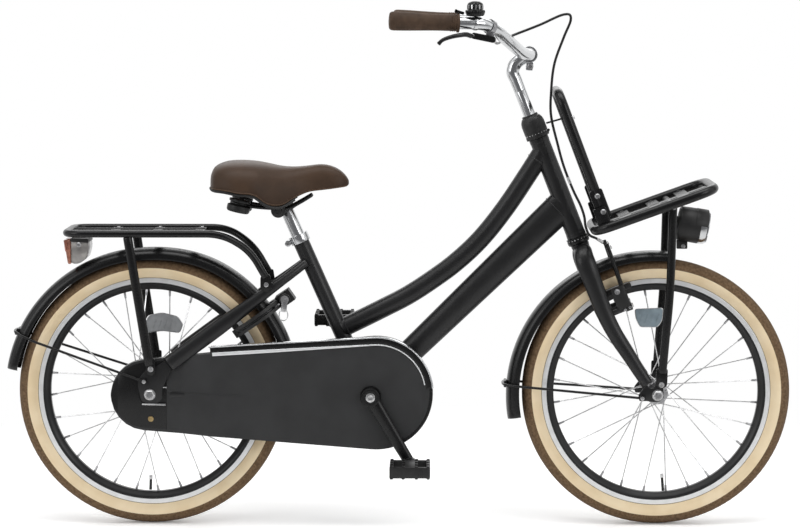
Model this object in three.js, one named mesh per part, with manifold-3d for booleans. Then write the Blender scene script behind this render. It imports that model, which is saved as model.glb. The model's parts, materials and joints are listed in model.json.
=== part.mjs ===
// A city bicycle with 20 inch wheels, a full chain case, two carriers and a coaster brake.
// Millimetres. X points forward, Y to the rider's left, Z up. The origin lies on the floor
// under the middle of the bicycle's length.
import * as THREE from 'three';
import { mergeVertices } from 'three/addons/utils/BufferGeometryUtils.js';
import Module from 'manifold-3d';

const wasm = await Module();
wasm.setup();

// Driving dimensions: wheels and their places
const GAP = 0.3;
const MESH_TOLERANCE = 0.04;
const wheelRadius = 250;
const wheelSegments = 28;
const rearAxleX = -460;
const frontAxleX = 482;
const tyreHalfWidth = 23.5;
const treadFlatHalf = 2.5;
const rimOuterRadius = 213;
const rimInnerRadius = 191;
const rimHalfWidth = 13.5;
const spokeCount = 28;
const spokeRadius = 1.1;
const spokeSweep = THREE.MathUtils.degToRad(62);
const axleRadius = 5;
const frontDropoutY = 53;
const rearDropoutY = 55;
const dropoutThickness = 4.5;

// Driving dimensions: frame
const headBottom = new THREE.Vector3(333.3, 0, 540);
const headTop = new THREE.Vector3(260.9, 0, 723.8);
const headTubeRadius = 18;
const steererRadius = 12.7;
const bracketCentre = new THREE.Vector3(-50, 0, 248);
const bracketRadius = 21;
const bracketHalfWidth = 34;
const seatTubeBottom = new THREE.Vector3(-57, 0, 250);
const seatTubeTop = new THREE.Vector3(-186.2, 0, 541.8);
const seatTubeRadius = 15;
const seatPostRadius = 12.5;
const topTubeRadius = 18;

// Driving dimensions: drive train
const chainLineY = -43;
const chainringRadius = 69.5;
const sprocketRadius = 33;
const crankLength = 144;
const crankAngle = THREE.MathUtils.degToRad(30.7);
const caseFrontRadius = 104.6;
const caseRearRadius = 66;
const caseRearX = -467;
const caseInnerY = -33;
const caseOuterY = -64;
const caseRearOuterY = -53.5;
const caseWall = 2;

// Driving dimensions: mudguards, carriers, handlebar
const mudguardRadius = 272;
const mudguardHalfWidth = 30;
const mudguardSheet = 2;
const barRadius = 11.1;
const carrierTubeRadius = 9;
const rearCarrierTubeRadius = 6.7;
const rearCarrierHalfWidth = 75;
const rearCarrierHeight = 550.5;

const bicycle = new THREE.Group();
const rearAxle = new THREE.Vector3(rearAxleX, 0, wheelRadius);
const frontAxle = new THREE.Vector3(frontAxleX, 0, wheelRadius);
const steerUp = headTop.clone().sub(headBottom).normalize();
const steerForward = new THREE.Vector3(steerUp.z, 0, -steerUp.x);
const seatUp = seatTubeTop.clone().sub(seatTubeBottom).normalize();

const finishes = {
  satinBlack: { color: 0x1b1b1c, roughness: 0.5, metalness: 0.3 },
  glossBlack: { color: 0x0c0c0d, roughness: 0.18, metalness: 0.2 },
  chrome: { color: 0xd8d9da, roughness: 0.12, metalness: 1.0 },
  steel: { color: 0xa9abad, roughness: 0.35, metalness: 1.0 },
  panel: { color: 0x2a2b2c, roughness: 0.75, metalness: 0.0 },
  plastic: { color: 0x161617, roughness: 0.6, metalness: 0.0 },
  brown: { color: 0x4a2f22, roughness: 0.6, metalness: 0.0 },
  tread: { color: 0xcbb487, roughness: 0.85, metalness: 0.0 },
  redLens: { color: 0x7a1512, roughness: 0.15, metalness: 0.0 },
  clearLens: { color: 0xd5dadd, roughness: 0.1, metalness: 0.0 },
};

// Turns a geometry into an exact solid, with shared vertices merged and slivers dropped
function solid(geometry) {
  const bare = geometry.clone();
  bare.deleteAttribute('normal');
  bare.deleteAttribute('uv');
  const merged = mergeVertices(bare, 1e-4);
  const index = merged.index.array;
  const kept = [];
  for (let i = 0; i < index.length; i += 3) {
    const [a, b, c] = [index[i], index[i + 1], index[i + 2]];
    if (a !== b && b !== c && c !== a) {
      kept.push(a, b, c);
    }
  }
  const vertProperties = new Float32Array(merged.attributes.position.array);
  const triVerts = new Uint32Array(kept);
  return new wasm.Manifold(new wasm.Mesh({ numProp: 3, vertProperties, triVerts }));
}

function join(...solids) {
  return solids.reduce((whole, piece) => whole.add(piece));
}

function cut(body, ...cutters) {
  return cutters.reduce((left, cutter) => left.subtract(cutter), body);
}

// Adds one named piece with its own material to the bicycle or to a group of it
function piece(name, body, finish, parent = bicycle) {
  const data = body.simplify(MESH_TOLERANCE).getMesh();
  const geometry = new THREE.BufferGeometry();
  geometry.setAttribute('position', new THREE.BufferAttribute(data.vertProperties.slice(), 3));
  geometry.setIndex(new THREE.BufferAttribute(data.triVerts.slice(), 1));
  geometry.computeVertexNormals();
  const mesh = new THREE.Mesh(geometry, new THREE.MeshStandardMaterial(finishes[finish]));
  mesh.name = name;
  parent.add(mesh);
  return mesh;
}

function v(x, y, z) {
  return new THREE.Vector3(x, y, z);
}

function mirrored(points) {
  return points.map((p) => v(p.x, -p.y, p.z));
}

function along(origin, direction, distance) {
  return origin.clone().addScaledVector(direction, distance);
}

// A round bar between two points, or a cone where the second radius differs
function rod(a, b, radius, sides = 12, endRadius = radius) {
  const length = a.distanceTo(b);
  const geometry = new THREE.CylinderGeometry(endRadius, radius, length, sides);
  const turn = new THREE.Quaternion().setFromUnitVectors(v(0, 1, 0), b.clone().sub(a).normalize());
  geometry.applyQuaternion(turn);
  const middle = a.clone().add(b).multiplyScalar(0.5);
  geometry.translate(middle.x, middle.y, middle.z);
  return solid(geometry);
}

// A round section drawn along a curve
function tube(curve, radius, steps, sides = 8) {
  const outline = [];
  for (let i = 0; i < sides; i += 1) {
    const angle = (i / sides) * 2 * Math.PI;
    outline.push(new THREE.Vector2(radius * Math.cos(angle), radius * Math.sin(angle)));
  }
  const shape = new THREE.Shape(outline);
  return solid(new THREE.ExtrudeGeometry(shape, { steps, extrudePath: curve, bevelEnabled: false }));
}

function smooth(points, tension = 0.5) {
  return new THREE.CatmullRomCurve3(points, false, 'centripetal', tension);
}

// Straight runs joined by round corners of one radius
function bent(points, radius) {
  const path = new THREE.CurvePath();
  let start = points[0];
  for (let i = 1; i < points.length - 1; i += 1) {
    const toBack = start.clone().sub(points[i]);
    const toNext = points[i + 1].clone().sub(points[i]);
    const reach = Math.min(radius, toBack.length() * 0.9, toNext.length() * 0.45);
    const enter = along(points[i], toBack.normalize(), reach);
    const leave = along(points[i], toNext.normalize(), reach);
    path.add(new THREE.LineCurve3(start, enter));
    path.add(new THREE.QuadraticBezierCurve3(enter, points[i], leave));
    start = leave;
  }
  path.add(new THREE.LineCurve3(start, points[points.length - 1]));
  return path;
}

// Joins rings of points into a closed skin; the end caps are cut from the section's own outline
function skin(rings, outline) {
  const count = rings[0].length;
  const points = rings.flat();
  const last = (rings.length - 1) * count;
  const faces = [];
  for (let r = 0; r < rings.length - 1; r += 1) {
    for (let i = 0; i < count; i += 1) {
      const a = r * count + i;
      const b = r * count + ((i + 1) % count);
      faces.push([a, b, b + count], [a, b + count, a + count]);
    }
  }
  const flipped = THREE.ShapeUtils.isClockWise(outline);
  for (const [a, b, c] of THREE.ShapeUtils.triangulateShape(outline, [])) {
    const cap = flipped ? [a, b, c] : [a, c, b];
    faces.push(cap, cap.map((i) => i + last).reverse());
  }
  const sixfold = (sum, [a, b, c]) => sum + points[a].dot(points[b].clone().cross(points[c]));
  const insideOut = faces.reduce(sixfold, 0) < 0;
  const geometry = new THREE.BufferGeometry();
  const positions = points.flatMap((p) => [p.x, p.y, p.z]);
  geometry.setAttribute('position', new THREE.Float32BufferAttribute(positions, 3));
  geometry.setIndex(faces.flatMap((face) => (insideOut ? face.slice().reverse() : face)));
  return solid(geometry);
}

// A tube whose height and width change along its curve: half sizes in the XZ plane and along Y
function taperedTube(curve, sizeAt, steps, sides = 10) {
  const rings = [];
  const outline = [];
  for (let s = 0; s <= steps; s += 1) {
    const t = s / steps;
    const centre = curve.getPointAt(t);
    const tangent = curve.getTangentAt(t);
    const acrossY = v(0, 1, 0).addScaledVector(tangent, -tangent.y).normalize();
    const upward = acrossY.clone().cross(tangent).normalize();
    const { high, wide } = sizeAt(t);
    const ring = [];
    for (let i = 0; i < sides; i += 1) {
      const angle = (i / sides) * 2 * Math.PI;
      const point = along(centre, upward, high * Math.cos(angle));
      ring.push(point.addScaledVector(acrossY, wide * Math.sin(angle)));
      if (s === 0) {
        outline.push(new THREE.Vector2(Math.cos(angle), Math.sin(angle)));
      }
    }
    rings.push(ring);
  }
  return skin(rings, outline);
}

function block(centre, size, angleY = 0) {
  const geometry = new THREE.BoxGeometry(size.x, size.y, size.z);
  geometry.rotateY(angleY);
  geometry.translate(centre.x, centre.y, centre.z);
  return solid(geometry);
}

// A flat plate: an outline of [x, z] points, between two values of Y
function plate(outline, yLow, yHigh) {
  const shape = new THREE.Shape(outline.map(([x, z]) => new THREE.Vector2(x, z)));
  const geometry = new THREE.ExtrudeGeometry(shape, { depth: yHigh - yLow, bevelEnabled: false });
  geometry.rotateX(Math.PI / 2);
  geometry.translate(0, yHigh, 0);
  return solid(geometry);
}

// A turned ring about the Y axis from [radius, y] points; the outline closes on itself
function turned(outline, segments, scale = 1) {
  const points = outline.map(([r, y]) => new THREE.Vector2(r * scale, y));
  points.push(points[0].clone());
  const geometry = new THREE.LatheGeometry(points, segments, Math.PI / segments);
  return solid(geometry);
}

// The same ring, moved so that its axis runs from a point along a direction
function turnedAt(outline, segments, origin, direction) {
  const points = outline.map(([r, y]) => new THREE.Vector2(r, y));
  points.push(points[0].clone());
  const geometry = new THREE.LatheGeometry(points, segments, Math.PI / segments);
  geometry.applyQuaternion(new THREE.Quaternion().setFromUnitVectors(v(0, 1, 0), direction));
  geometry.translate(origin.x, origin.y, origin.z);
  return solid(geometry);
}

function sleeve(inner, outer, low, high) {
  return [[inner, low], [outer, low], [outer, high], [inner, high]];
}

// Points on a circle in the XZ plane
function arcXZ(centre, radius, fromDegrees, toDegrees, count) {
  const points = [];
  for (let i = 0; i <= count; i += 1) {
    const angle = THREE.MathUtils.degToRad(fromDegrees + ((toDegrees - fromDegrees) * i) / count);
    points.push([centre[0] + radius * Math.cos(angle), centre[1] + radius * Math.sin(angle)]);
  }
  return points;
}

// The outline round two circles that one belt would follow
function beltOutline(rearCentre, rearRadius, frontCentre, frontRadius, count) {
  const distance = Math.hypot(frontCentre[0] - rearCentre[0], frontCentre[1] - rearCentre[1]);
  const lean = THREE.MathUtils.radToDeg(Math.asin((frontRadius - rearRadius) / distance));
  const tilt = THREE.MathUtils.radToDeg(
    Math.atan2(frontCentre[1] - rearCentre[1], frontCentre[0] - rearCentre[0]));
  const front = arcXZ(frontCentre, frontRadius, tilt - 90 - lean, tilt + 90 + lean, count);
  const rear = arcXZ(rearCentre, rearRadius, tilt + 90 + lean, tilt + 270 - lean, count);
  return [...front, ...rear];
}

// Wheels: a tyre on a rim, and a hub laced to it with crossed spokes
const facetScale = 1 / Math.cos(Math.PI / wheelSegments);
const tyreOutline = [
  [206.5, -10.9], [215, -10.9], [231, -tyreHalfWidth], [243.5, -18], [248.4, -9.5],
  [wheelRadius, -treadFlatHalf], [wheelRadius, treadFlatHalf], [248.4, 9.5], [243.5, 18],
  [231, tyreHalfWidth], [215, 10.9], [206.5, 10.9],
  [206.5, 6], [231, 17], [245, 0], [231, -17], [206.5, -6],
];
const rimOutline = [
  [rimInnerRadius, -6], [200, -rimHalfWidth], [rimOuterRadius, -rimHalfWidth],
  [rimOuterRadius, -11.3], [203, -11.3], [203, 11.3], [rimOuterRadius, 11.3],
  [rimOuterRadius, rimHalfWidth], [200, rimHalfWidth], [rimInnerRadius, 6],
];
const frontHubOutline = [
  [6.6, -38], [12, -38], [12, -33], [21, -33], [21, -27], [13, -27],
  [13, 27], [21, 27], [21, 33], [12, 33], [12, 38], [6.6, 38],
];
const rearHubOutline = [
  [6.6, -36], [22, -36], [22, -32], [33, -32], [33, -26], [25, -26],
  [25, 26], [33, 26], [33, 32], [25, 32], [22, 44], [6.6, 44],
];

function lacedHub(outline, flangeRadius, flangeY, phase) {
  const spokeEnd = rimInnerRadius - GAP;
  let hub = turned(outline, 12);
  for (let i = 0; i < spokeCount; i += 1) {
    const side = i % 2 === 0 ? -1 : 1;
    const leads = i % 4 < 2 ? 1 : -1;
    const rimAngle = phase + (i / spokeCount) * 2 * Math.PI;
    const hubAngle = rimAngle + leads * spokeSweep;
    const hubY = side * (flangeY + leads * 1.6);
    const rimY = side * (3 + leads * 0.4);
    const root = v(flangeRadius * Math.cos(hubAngle), hubY, flangeRadius * Math.sin(hubAngle));
    const tip = v(spokeEnd * Math.cos(rimAngle), rimY, spokeEnd * Math.sin(rimAngle));
    hub = hub.add(rod(root, tip, spokeRadius, 3));
  }
  return hub;
}

function wheel(prefix, axle, hubOutline, flangeRadius, flangeY, phase) {
  const group = new THREE.Group();
  group.position.copy(axle);
  piece(`${prefix}_tyre`, turned(tyreOutline, wheelSegments, facetScale), 'tread', group);
  piece(`${prefix}_rim`, turned(rimOutline, wheelSegments, facetScale), 'chrome', group);
  const hub = lacedHub(hubOutline, flangeRadius, flangeY, phase);
  piece(`${prefix}_hub_and_spokes`, hub, 'steel', group);
  bicycle.add(group);
}

const lockAngle = THREE.MathUtils.degToRad(35);
const spokeStep = (2 * Math.PI) / spokeCount;
wheel('front', frontAxle, frontHubOutline, 18.5, 30, spokeStep / 2);
wheel('rear', rearAxle, rearHubOutline, 30, 29, lockAngle + spokeStep / 2);

function hexNut(centre, sideY, radius, thickness) {
  const outer = centre.clone().setY(centre.y + sideY * thickness);
  return rod(centre, outer, radius, 6);
}

function axleWithNuts(axle, dropoutY, coneStart) {
  const nutFace = dropoutY + dropoutThickness + GAP;
  const reach = nutFace + 12;
  const parts = [rod(axle.clone().setY(-reach), axle.clone().setY(reach), axleRadius, 8)];
  for (const side of [-1, 1]) {
    const start = side < 0 ? coneStart[0] : coneStart[1];
    const cone = [axle.clone().setY(side * start), axle.clone().setY(side * (dropoutY - GAP))];
    parts.push(rod(cone[0], cone[1], 9, 8));
    parts.push(hexNut(axle.clone().setY(side * nutFace), side, 9.5, 8));
  }
  return join(...parts);
}

piece('front_axle', axleWithNuts(frontAxle, frontDropoutY, [38.6, 38.6]), 'steel');
piece('rear_axle', axleWithNuts(rearAxle, rearDropoutY, [50, 44.6]), 'steel');

// Frame: main tubes, each cut where it meets the one that carries it
function headAt(distance, y = 0) {
  return along(headBottom, steerUp, distance).setY(y);
}

const headLength = headTop.distanceTo(headBottom);
const headTubeOutline = sleeve(14.5, headTubeRadius, 0, headLength);
piece('head_tube', turnedAt(headTubeOutline, 16, headBottom, steerUp), 'satinBlack');
const lowerCup = sleeve(13.6, 21, -13, -GAP);
const upperCup = sleeve(13.6, 19.5, headLength + GAP, headLength + 9);
piece('headset_lower_cup', turnedAt(lowerCup, 16, headBottom, steerUp), 'glossBlack');
piece('headset_upper_cup', turnedAt(upperCup, 16, headBottom, steerUp), 'glossBlack');

const seatLength = seatTubeTop.distanceTo(seatTubeBottom);
const headCutter = rod(headAt(-40), headAt(headLength + 40), headTubeRadius + GAP * 2, 16);
const seatCutter = rod(seatTubeBottom, along(seatTubeBottom, seatUp, seatLength + 40),
  seatTubeRadius + GAP * 2, 16);
const bracketCutter = rod(bracketCentre.clone().setY(-80), bracketCentre.clone().setY(80),
  bracketRadius + GAP * 2, 16);

const bracketOutline = sleeve(15, bracketRadius, -bracketHalfWidth, bracketHalfWidth);
piece('bottom_bracket_shell', turnedAt(bracketOutline, 16, bracketCentre, v(0, 1, 0)), 'satinBlack');

const seatBore = rod(along(seatTubeBottom, seatUp, 40), along(seatTubeBottom, seatUp, seatLength + 5),
  13.5, 14);
const seatTubeBody = rod(seatTubeBottom, seatTubeTop, seatTubeRadius, 16);
piece('seat_tube', cut(seatTubeBody, seatBore, bracketCutter), 'satinBlack');

const topTubeCurve = smooth([
  v(-104, 0, 368), v(-72, 0, 383.5), v(-27, 0, 406), v(18, 0, 429.4), v(63, 0, 458.5), v(108, 0, 492),
  v(153, 0, 534.4), v(198, 0, 590.7), v(243, 0, 658.2), v(268, 0, 698),
]);
piece('top_tube', cut(tube(topTubeCurve, topTubeRadius, 12, 10), headCutter, seatCutter),
  'satinBlack');

const downTubeCurve = new THREE.LineCurve3(v(-46, 0, 256.6), v(311, 0, 603.2));
const downTubeSize = (t) => ({ high: 22 + 7.7 * t, wide: 18.5 - 0.8 * t });
const downTubeBody = taperedTube(downTubeCurve, downTubeSize, 2, 12);
piece('down_tube', cut(downTubeBody, headCutter, bracketCutter, seatCutter), 'satinBlack');

// Rear triangle: stays bowed round the wheel, with the dropout plates on the chain stays
const dropoutHole = rod(rearAxle.clone().setY(-90), rearAxle.clone().setY(90), axleRadius + 0.6, 12);
const stayDirection = v(0.8077, 0, 0.5897);
const stayEnd = v(-424, 0, 307);
const stayAcross = v(-stayDirection.z, 0, stayDirection.x);

function rearDropoutOutline() {
  const tabEnd = along(stayEnd, stayDirection, -0.8);
  const upper = along(tabEnd, stayAcross, 9);
  const lower = along(tabEnd, stayAcross, -9);
  return [
    [-414, 243], [-414, 257], [lower.x, lower.z], [upper.x, upper.z], [-450, 301], [-466, 297],
    [-480, 280], [-482, 266], [-476, 238], [-462, 232], [-440, 238],
  ];
}

const chainStayPoints = [
  v(-62, 21, 248), v(-125, 28.5, 248), v(-165, 35, 248), v(-200, 40.5, 249),
  v(-300, 47.5, 249.5), v(-424, 57, 250),
];
const chainStayPointsRight = mirrored([
  ...chainStayPoints.slice(0, -2), v(-300, 45, 249.5), v(-424, 50.5, 250),
]);
const chainStaySize = (t) => ({ high: 10 - 1.5 * t, wide: 8.5 - 2.7 * t });

function chainStay(side) {
  const points = side > 0 ? chainStayPoints : chainStayPointsRight;
  const inner = side * rearDropoutY;
  const outer = side * (rearDropoutY + dropoutThickness);
  const dropout = plate(rearDropoutOutline(), Math.min(inner, outer), Math.max(inner, outer));
  const stay = taperedTube(smooth(points), chainStaySize, 9, 8);
  return cut(join(stay, dropout), dropoutHole, bracketCutter);
}

const seatStayPoints = [
  v(-172, 14, 492), v(-196, 27, 474), v(-228, 40, 450.5), v(-262, 44.5, 425.5),
  v(-340, 52, 368.5), v(-424, 57.5, 307),
];
const seatStaySize = (t) => ({ high: 8.8 + 6.1 * THREE.MathUtils.smoothstep(t, 0.15, 0.7), wide: 7.5 });

function seatStay(side) {
  const points = side > 0 ? seatStayPoints : mirrored(seatStayPoints);
  return cut(taperedTube(smooth(points), seatStaySize, 9, 8), seatCutter, centrePlane(side));
}

// Keeps the two stays of a pair apart at the middle of the frame
function centrePlane(side) {
  return block(v(-150, -side * 19.7, 400), v(500, 40, 700));
}

const kickstandPivot = v(-140, 58, 224);
const kickstandPlate = block(v(-140, 37.2, 230), v(34, 20, 28));
piece('chainstay_right', chainStay(-1), 'satinBlack');
piece('chainstay_left', join(chainStay(1), kickstandPlate), 'satinBlack');
piece('seatstay_right', seatStay(-1), 'satinBlack');
piece('seatstay_left', seatStay(1), 'satinBlack');

// Seat clamp: a split collar on top of the seat tube with its bolt behind
const collar = turnedAt(sleeve(seatTubeRadius + GAP, 18.5, seatLength - 14, seatLength + 2),
  16, seatTubeBottom, seatUp);
const collarBack = along(along(seatTubeBottom, seatUp, seatLength - 6), v(-seatUp.z, 0, seatUp.x), 23);
const collarLug = rod(collarBack.clone().setY(-10), collarBack.clone().setY(10), 6, 10);
piece('seat_clamp', join(collar, collarLug), 'chrome');

// Seat post, saddle frame and saddle slide in the seat tube
const postTop = along(seatTubeBottom, seatUp, seatLength + 56);
const postBottom = along(seatTubeBottom, seatUp, seatLength - 144);
piece('seatpost', rod(postBottom, postTop, seatPostRadius, 12), 'chrome');

const clampCentre = v(-222, 0, 590);
const railY = 20;
const postSocket = rod(along(postTop, seatUp, -6), along(postTop, seatUp, 4), 17, 12);
const postSocketBore = rod(along(postTop, seatUp, -60), along(postTop, seatUp, GAP),
  seatPostRadius + 0.9, 12);
const saddleClampPin = rod(clampCentre.clone().setY(-27), clampCentre.clone().setY(27), 13.5, 12);

function saddleRail(side) {
  const y = side * railY;
  const points = [
    v(-300, side * 36, 603), v(-262, side * 30, 597), v(-232, y, 594), v(-205, y, 594),
    v(-180, side * 18, 606), v(-160, side * 12, 618),
  ];
  return tube(smooth(points), 3.5, 6, 5);
}

function saddleRubber(side) {
  const low = v(-296, side * 36, 591);
  const high = v(-291, side * 36, 613);
  return rod(low, high, 15, 10);
}

const saddleBridge = rod(v(-294, -50, 599), v(-294, 50, 599), 6, 6);
const saddleFrameBody = cut(
  join(postSocket, saddleClampPin, saddleBridge, saddleRail(-1), saddleRail(1), saddleRubber(-1),
    saddleRubber(1)),
  postSocketBore);
piece('saddle_frame', saddleFrameBody, 'plastic');

// Saddle stations: distance along X, top height, skirt height, half width
const saddleStations = [
  [-347.5, 656, 635, 34], [-339, 672, 630, 62], [-318, 681, 628, 78], [-292, 683, 623, 84],
  [-265, 681.5, 620, 81], [-240, 677.5, 602, 71], [-216, 672.5, 599, 56], [-190, 671, 613, 41],
  [-165, 673, 624, 31], [-140, 675.5, 627, 27], [-117, 670, 630, 24], [-100, 658, 633, 18],
  [-91, 645, 636, 8],
];
const saddleSection = [
  [-1, 0.0], [-0.97, 0.38], [-0.8, 0.72], [-0.5, 0.92], [-0.2, 0.985], [0.2, 0.985],
  [0.5, 0.92], [0.8, 0.72], [0.97, 0.38], [1, 0.0], [0.85, 0.1], [0, 0.2], [-0.85, 0.1],
];
const saddleRings = saddleStations.map(([x, top, skirt, half]) => saddleSection.map(
  ([across, up]) => v(x, across * half, skirt + up * (top - skirt) * 1.01)));
const saddleOutline = saddleSection.map(([a, b]) => new THREE.Vector2(a, b));
const saddleBody = skin(saddleRings, saddleOutline);
const railRoom = block(v(-235, 0, 600), v(150, 80, 24));
piece('saddle', cut(saddleBody, railRoom), 'brown');

// Mudguards: a channel section swept round the wheel
function mudguardSection(edgeRadius) {
  const half = mudguardHalfWidth;
  const inner = half - mudguardSheet;
  return [
    [-half, edgeRadius], [-28, 263], [-13, mudguardRadius], [13, mudguardRadius], [28, 263],
    [half, edgeRadius], [inner, edgeRadius], [26, 262], [12, 270], [-12, 270], [-26, 262],
    [-inner, edgeRadius],
  ];
}

function mudguard(centre, span, steps, edgeAt, liftAt) {
  const rings = [];
  for (let s = 0; s <= steps; s += 1) {
    const t = s / steps;
    const angle = THREE.MathUtils.degToRad(span[0] + (span[1] - span[0]) * t);
    const lift = liftAt(t);
    rings.push(mudguardSection(edgeAt(t)).map(([y, r]) => v(
      centre.x + (r + lift) * Math.cos(angle), y, centre.z + (r + lift) * Math.sin(angle))));
  }
  const outline = mudguardSection(edgeAt(0)).map(([y, r]) => new THREE.Vector2(y, r));
  return skin(rings, outline);
}

// The rear one stands further off the tyre in front, where it is bolted to the frame
const rearTailLift = 1.4;
const rearFrontLift = 6;
const rearLift = (t) => rearTailLift + rearFrontLift * (1 - THREE.MathUtils.smoothstep(t, 0.38, 0.58));
const rearEdge = () => 251;
const frontEdge = (t) => 256.5 - 9 * t;
const frontLift = () => 0;
const frontMudguardCentre = frontAxle.clone().add(v(-8, 0, -8));
const rearMudguardCentre = rearAxle.clone().add(v(-3, 0, -4));
const frontMudguardSpan = [82, 189.3];
const rearMudguardSpan = [-8, 170.2];
piece('rear_mudguard', mudguard(rearMudguardCentre, rearMudguardSpan, 18, rearEdge, rearLift),
  'glossBlack');
piece('front_mudguard', mudguard(frontMudguardCentre, frontMudguardSpan, 12, frontEdge, frontLift),
  'glossBlack');

// Mudguard stays: one wire from eyelet to eyelet round the outside of the channel
function mudguardStay(centre, degrees, eyelet) {
  const angle = THREE.MathUtils.degToRad(degrees);
  const out = (r, y) => v(centre.x + r * Math.cos(angle), y, centre.z + r * Math.sin(angle));
  const half = [out(279, 12), out(276, 29), out(260, 36), out(236, 37.5), eyelet];
  const bow = [...mirrored(half).reverse(), ...half];
  const tabs = [-1, 1].map((side) => rod(eyelet.clone().setY(side * (eyelet.y - 3.5)),
    eyelet.clone().setY(side * (eyelet.y + 2)), 5.5, 8));
  return join(tube(bent(bow, 6), 2.4, 24, 5), ...tabs);
}

const rearStayEyelet = v(-470, rearDropoutY + dropoutThickness + 4.5, 275);
const frontStayEyelet = v(453, frontDropoutY + dropoutThickness + 4.5, 245);
piece('rear_mudguard_stay', mudguardStay(rearMudguardCentre, 155, rearStayEyelet), 'glossBlack');
piece('front_mudguard_stay', mudguardStay(frontMudguardCentre, 175.2, frontStayEyelet), 'glossBlack');

// Fork: hollow steerer, crown, raked blades, dropouts and the studs that carry the brake arms
const brakePivot = v(428, 40, 414);
const quillBore = rod(headAt(90), headAt(240), 11.7, 12);
const bladePoints = [
  v(342, 43, 512), v(352, 46, 484), v(366, 47.5, 446), v(385.7, 49, 396), v(405.2, 51, 359),
  v(429.3, 53.5, 322), v(453.4, 55, 284.7), v(464, 55.5, 270),
];
const bladeSize = (t) => ({ high: 18.5 - 7.5 * t, wide: 11 - 3.5 * t });

function forkDropoutOutline() {
  return [
    [452, 282], [468, 262], [476, 264], [478, 276], [486, 280], [493, 273], [492, 262],
    [494, 246], [486, 238], [474, 237], [462, 239], [448, 239], [446, 250], [455, 262], [447, 272],
  ];
}

function forkSide(side) {
  const points = side > 0 ? bladePoints : mirrored(bladePoints);
  const low = side > 0 ? frontDropoutY : -frontDropoutY - dropoutThickness;
  const dropout = plate(forkDropoutOutline(), low, low + dropoutThickness);
  const pivot = brakePivot.clone().setY(side * brakePivot.y);
  const studRoot = along(pivot, steerForward, -46).setY(side * 44);
  const stud = rod(studRoot, along(pivot, steerForward, -8), 6.5, 8);
  const pin = rod(along(pivot, steerForward, -10), along(pivot, steerForward, 7), 4, 8);
  return join(taperedTube(smooth(points), bladeSize, 7, 8), dropout, stud, pin);
}

const crownCurve = new THREE.LineCurve3(headAt(-31), headAt(-15));
const crown = taperedTube(crownCurve, () => ({ high: 20, wide: 52 }), 1, 12);
const steerer = rod(headAt(-20), headAt(238), steererRadius, 12);
const axleHole = rod(frontAxle.clone().setY(-90), frontAxle.clone().setY(90), axleRadius + 0.6, 12);
piece('fork', cut(join(steerer, crown, forkSide(-1), forkSide(1)), quillBore, axleHole), 'satinBlack');

// Headset cover turns with the steerer
const coverOutline = [
  [20.6, 198.5], [22.2, 198.5], [22.2, 229], [19, 238], [15, 243.6], [13.3, 243.6], [13.3, 219],
  [20.6, 213],
];
piece('headset_cover', turnedAt(coverOutline, 16, headBottom, steerUp), 'plastic');

// Stem: a quill inside the steerer, a neck and a clamp round the bar
const barCentre = v(242.5, 0, 878.8);
const quillTop = headAt(331);
const quill = rod(headAt(150), quillTop, 11.1, 12);
const neck = rod(headAt(321), along(barCentre, v(1, 0, 0), -4), 11.5, 10, 13.5);
const clampBarrel = rod(barCentre.clone().setY(-21), barCentre.clone().setY(21), 15.4, 14);
const clampBore = rod(barCentre.clone().setY(-40), barCentre.clone().setY(40), 12.4, 12);
const clampEar = block(along(barCentre, v(0.05, 0, -1).normalize(), 21), v(14, 22, 18), 0.1);
piece('stem', cut(join(quill, neck, clampBarrel, clampEar), clampBore), 'chrome');

// Handlebar: swept back and up to two straight ends for the grips
const barHalf = [
  v(242.5, -24, 878.8), v(241.5, -36, 879), v(227.5, -78, 883.6), v(209.3, -134, 898.4),
  v(191.6, -184, 913.6), v(174.7, -216, 927.2), v(152.7, -236, 936.8), v(113.3, -246, 939),
  v(60, -253, 940.5), v(-6, -260, 943),
];
const barPoints = [...barHalf.slice().reverse(), ...mirrored(barHalf)];
const bar = smooth(barPoints);
piece('handlebar', tube(bar, barRadius, 38, 8), 'chrome');

// Grips: closed sleeves over the ends of the bar
const gripInner = v(110.9, -246.3, 939.1);
const gripOuter = v(-12.5, -260.7, 943.2);

function grip(side) {
  const inner = gripInner.clone().setY(-side * gripInner.y);
  const outer = gripOuter.clone().setY(-side * gripOuter.y);
  const bore = rod(along(inner, inner.clone().sub(outer).normalize(), 5),
    along(outer, inner.clone().sub(outer).normalize(), 4), 13.8, 12);
  return cut(rod(inner, outer, 17, 14), bore);
}

piece('grip_right', grip(-1), 'brown');
piece('grip_left', grip(1), 'brown');

// A clamp band round the bar at a share of its length from the right end
function barBand(share, width, outer) {
  const middle = bar.getPointAt(share);
  const tangent = bar.getTangentAt(share);
  return turnedAt(sleeve(12.9, outer, -width / 2, width / 2), 12, middle, tangent);
}

// The share of the bar's length at which its right half reaches a distance along X
function bandShare(x) {
  let share = 0.1;
  while (bar.getPointAt(share).x < x) {
    share += 0.0005;
  }
  return share;
}

// Bell on top of the bar, with its thumb lever
const bellShare = bandShare(139);
const bellFoot = bar.getPointAt(bellShare);
const bellCentre = along(bellFoot, v(0, 0, 1), 12.4);
const bellOutline = [
  [0, 0], [12.9, 0], [16.3, 3.5], [17.6, 8.4], [16.8, 11], [14.6, 12], [14.5, 18], [12.5, 23],
  [7, 26.6], [0, 27],
];
const bellDome = turnedAt(bellOutline, 14, bellCentre, v(0, 0, 1));
piece('bell', join(bellDome, barBand(bellShare, 9, 14.6)), 'glossBlack');
const bellLeverCentre = v(111.6, -247, 959.2);
piece('bell_lever', block(bellLeverCentre, v(17, 9, 4), 0.3), 'glossBlack');

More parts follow.
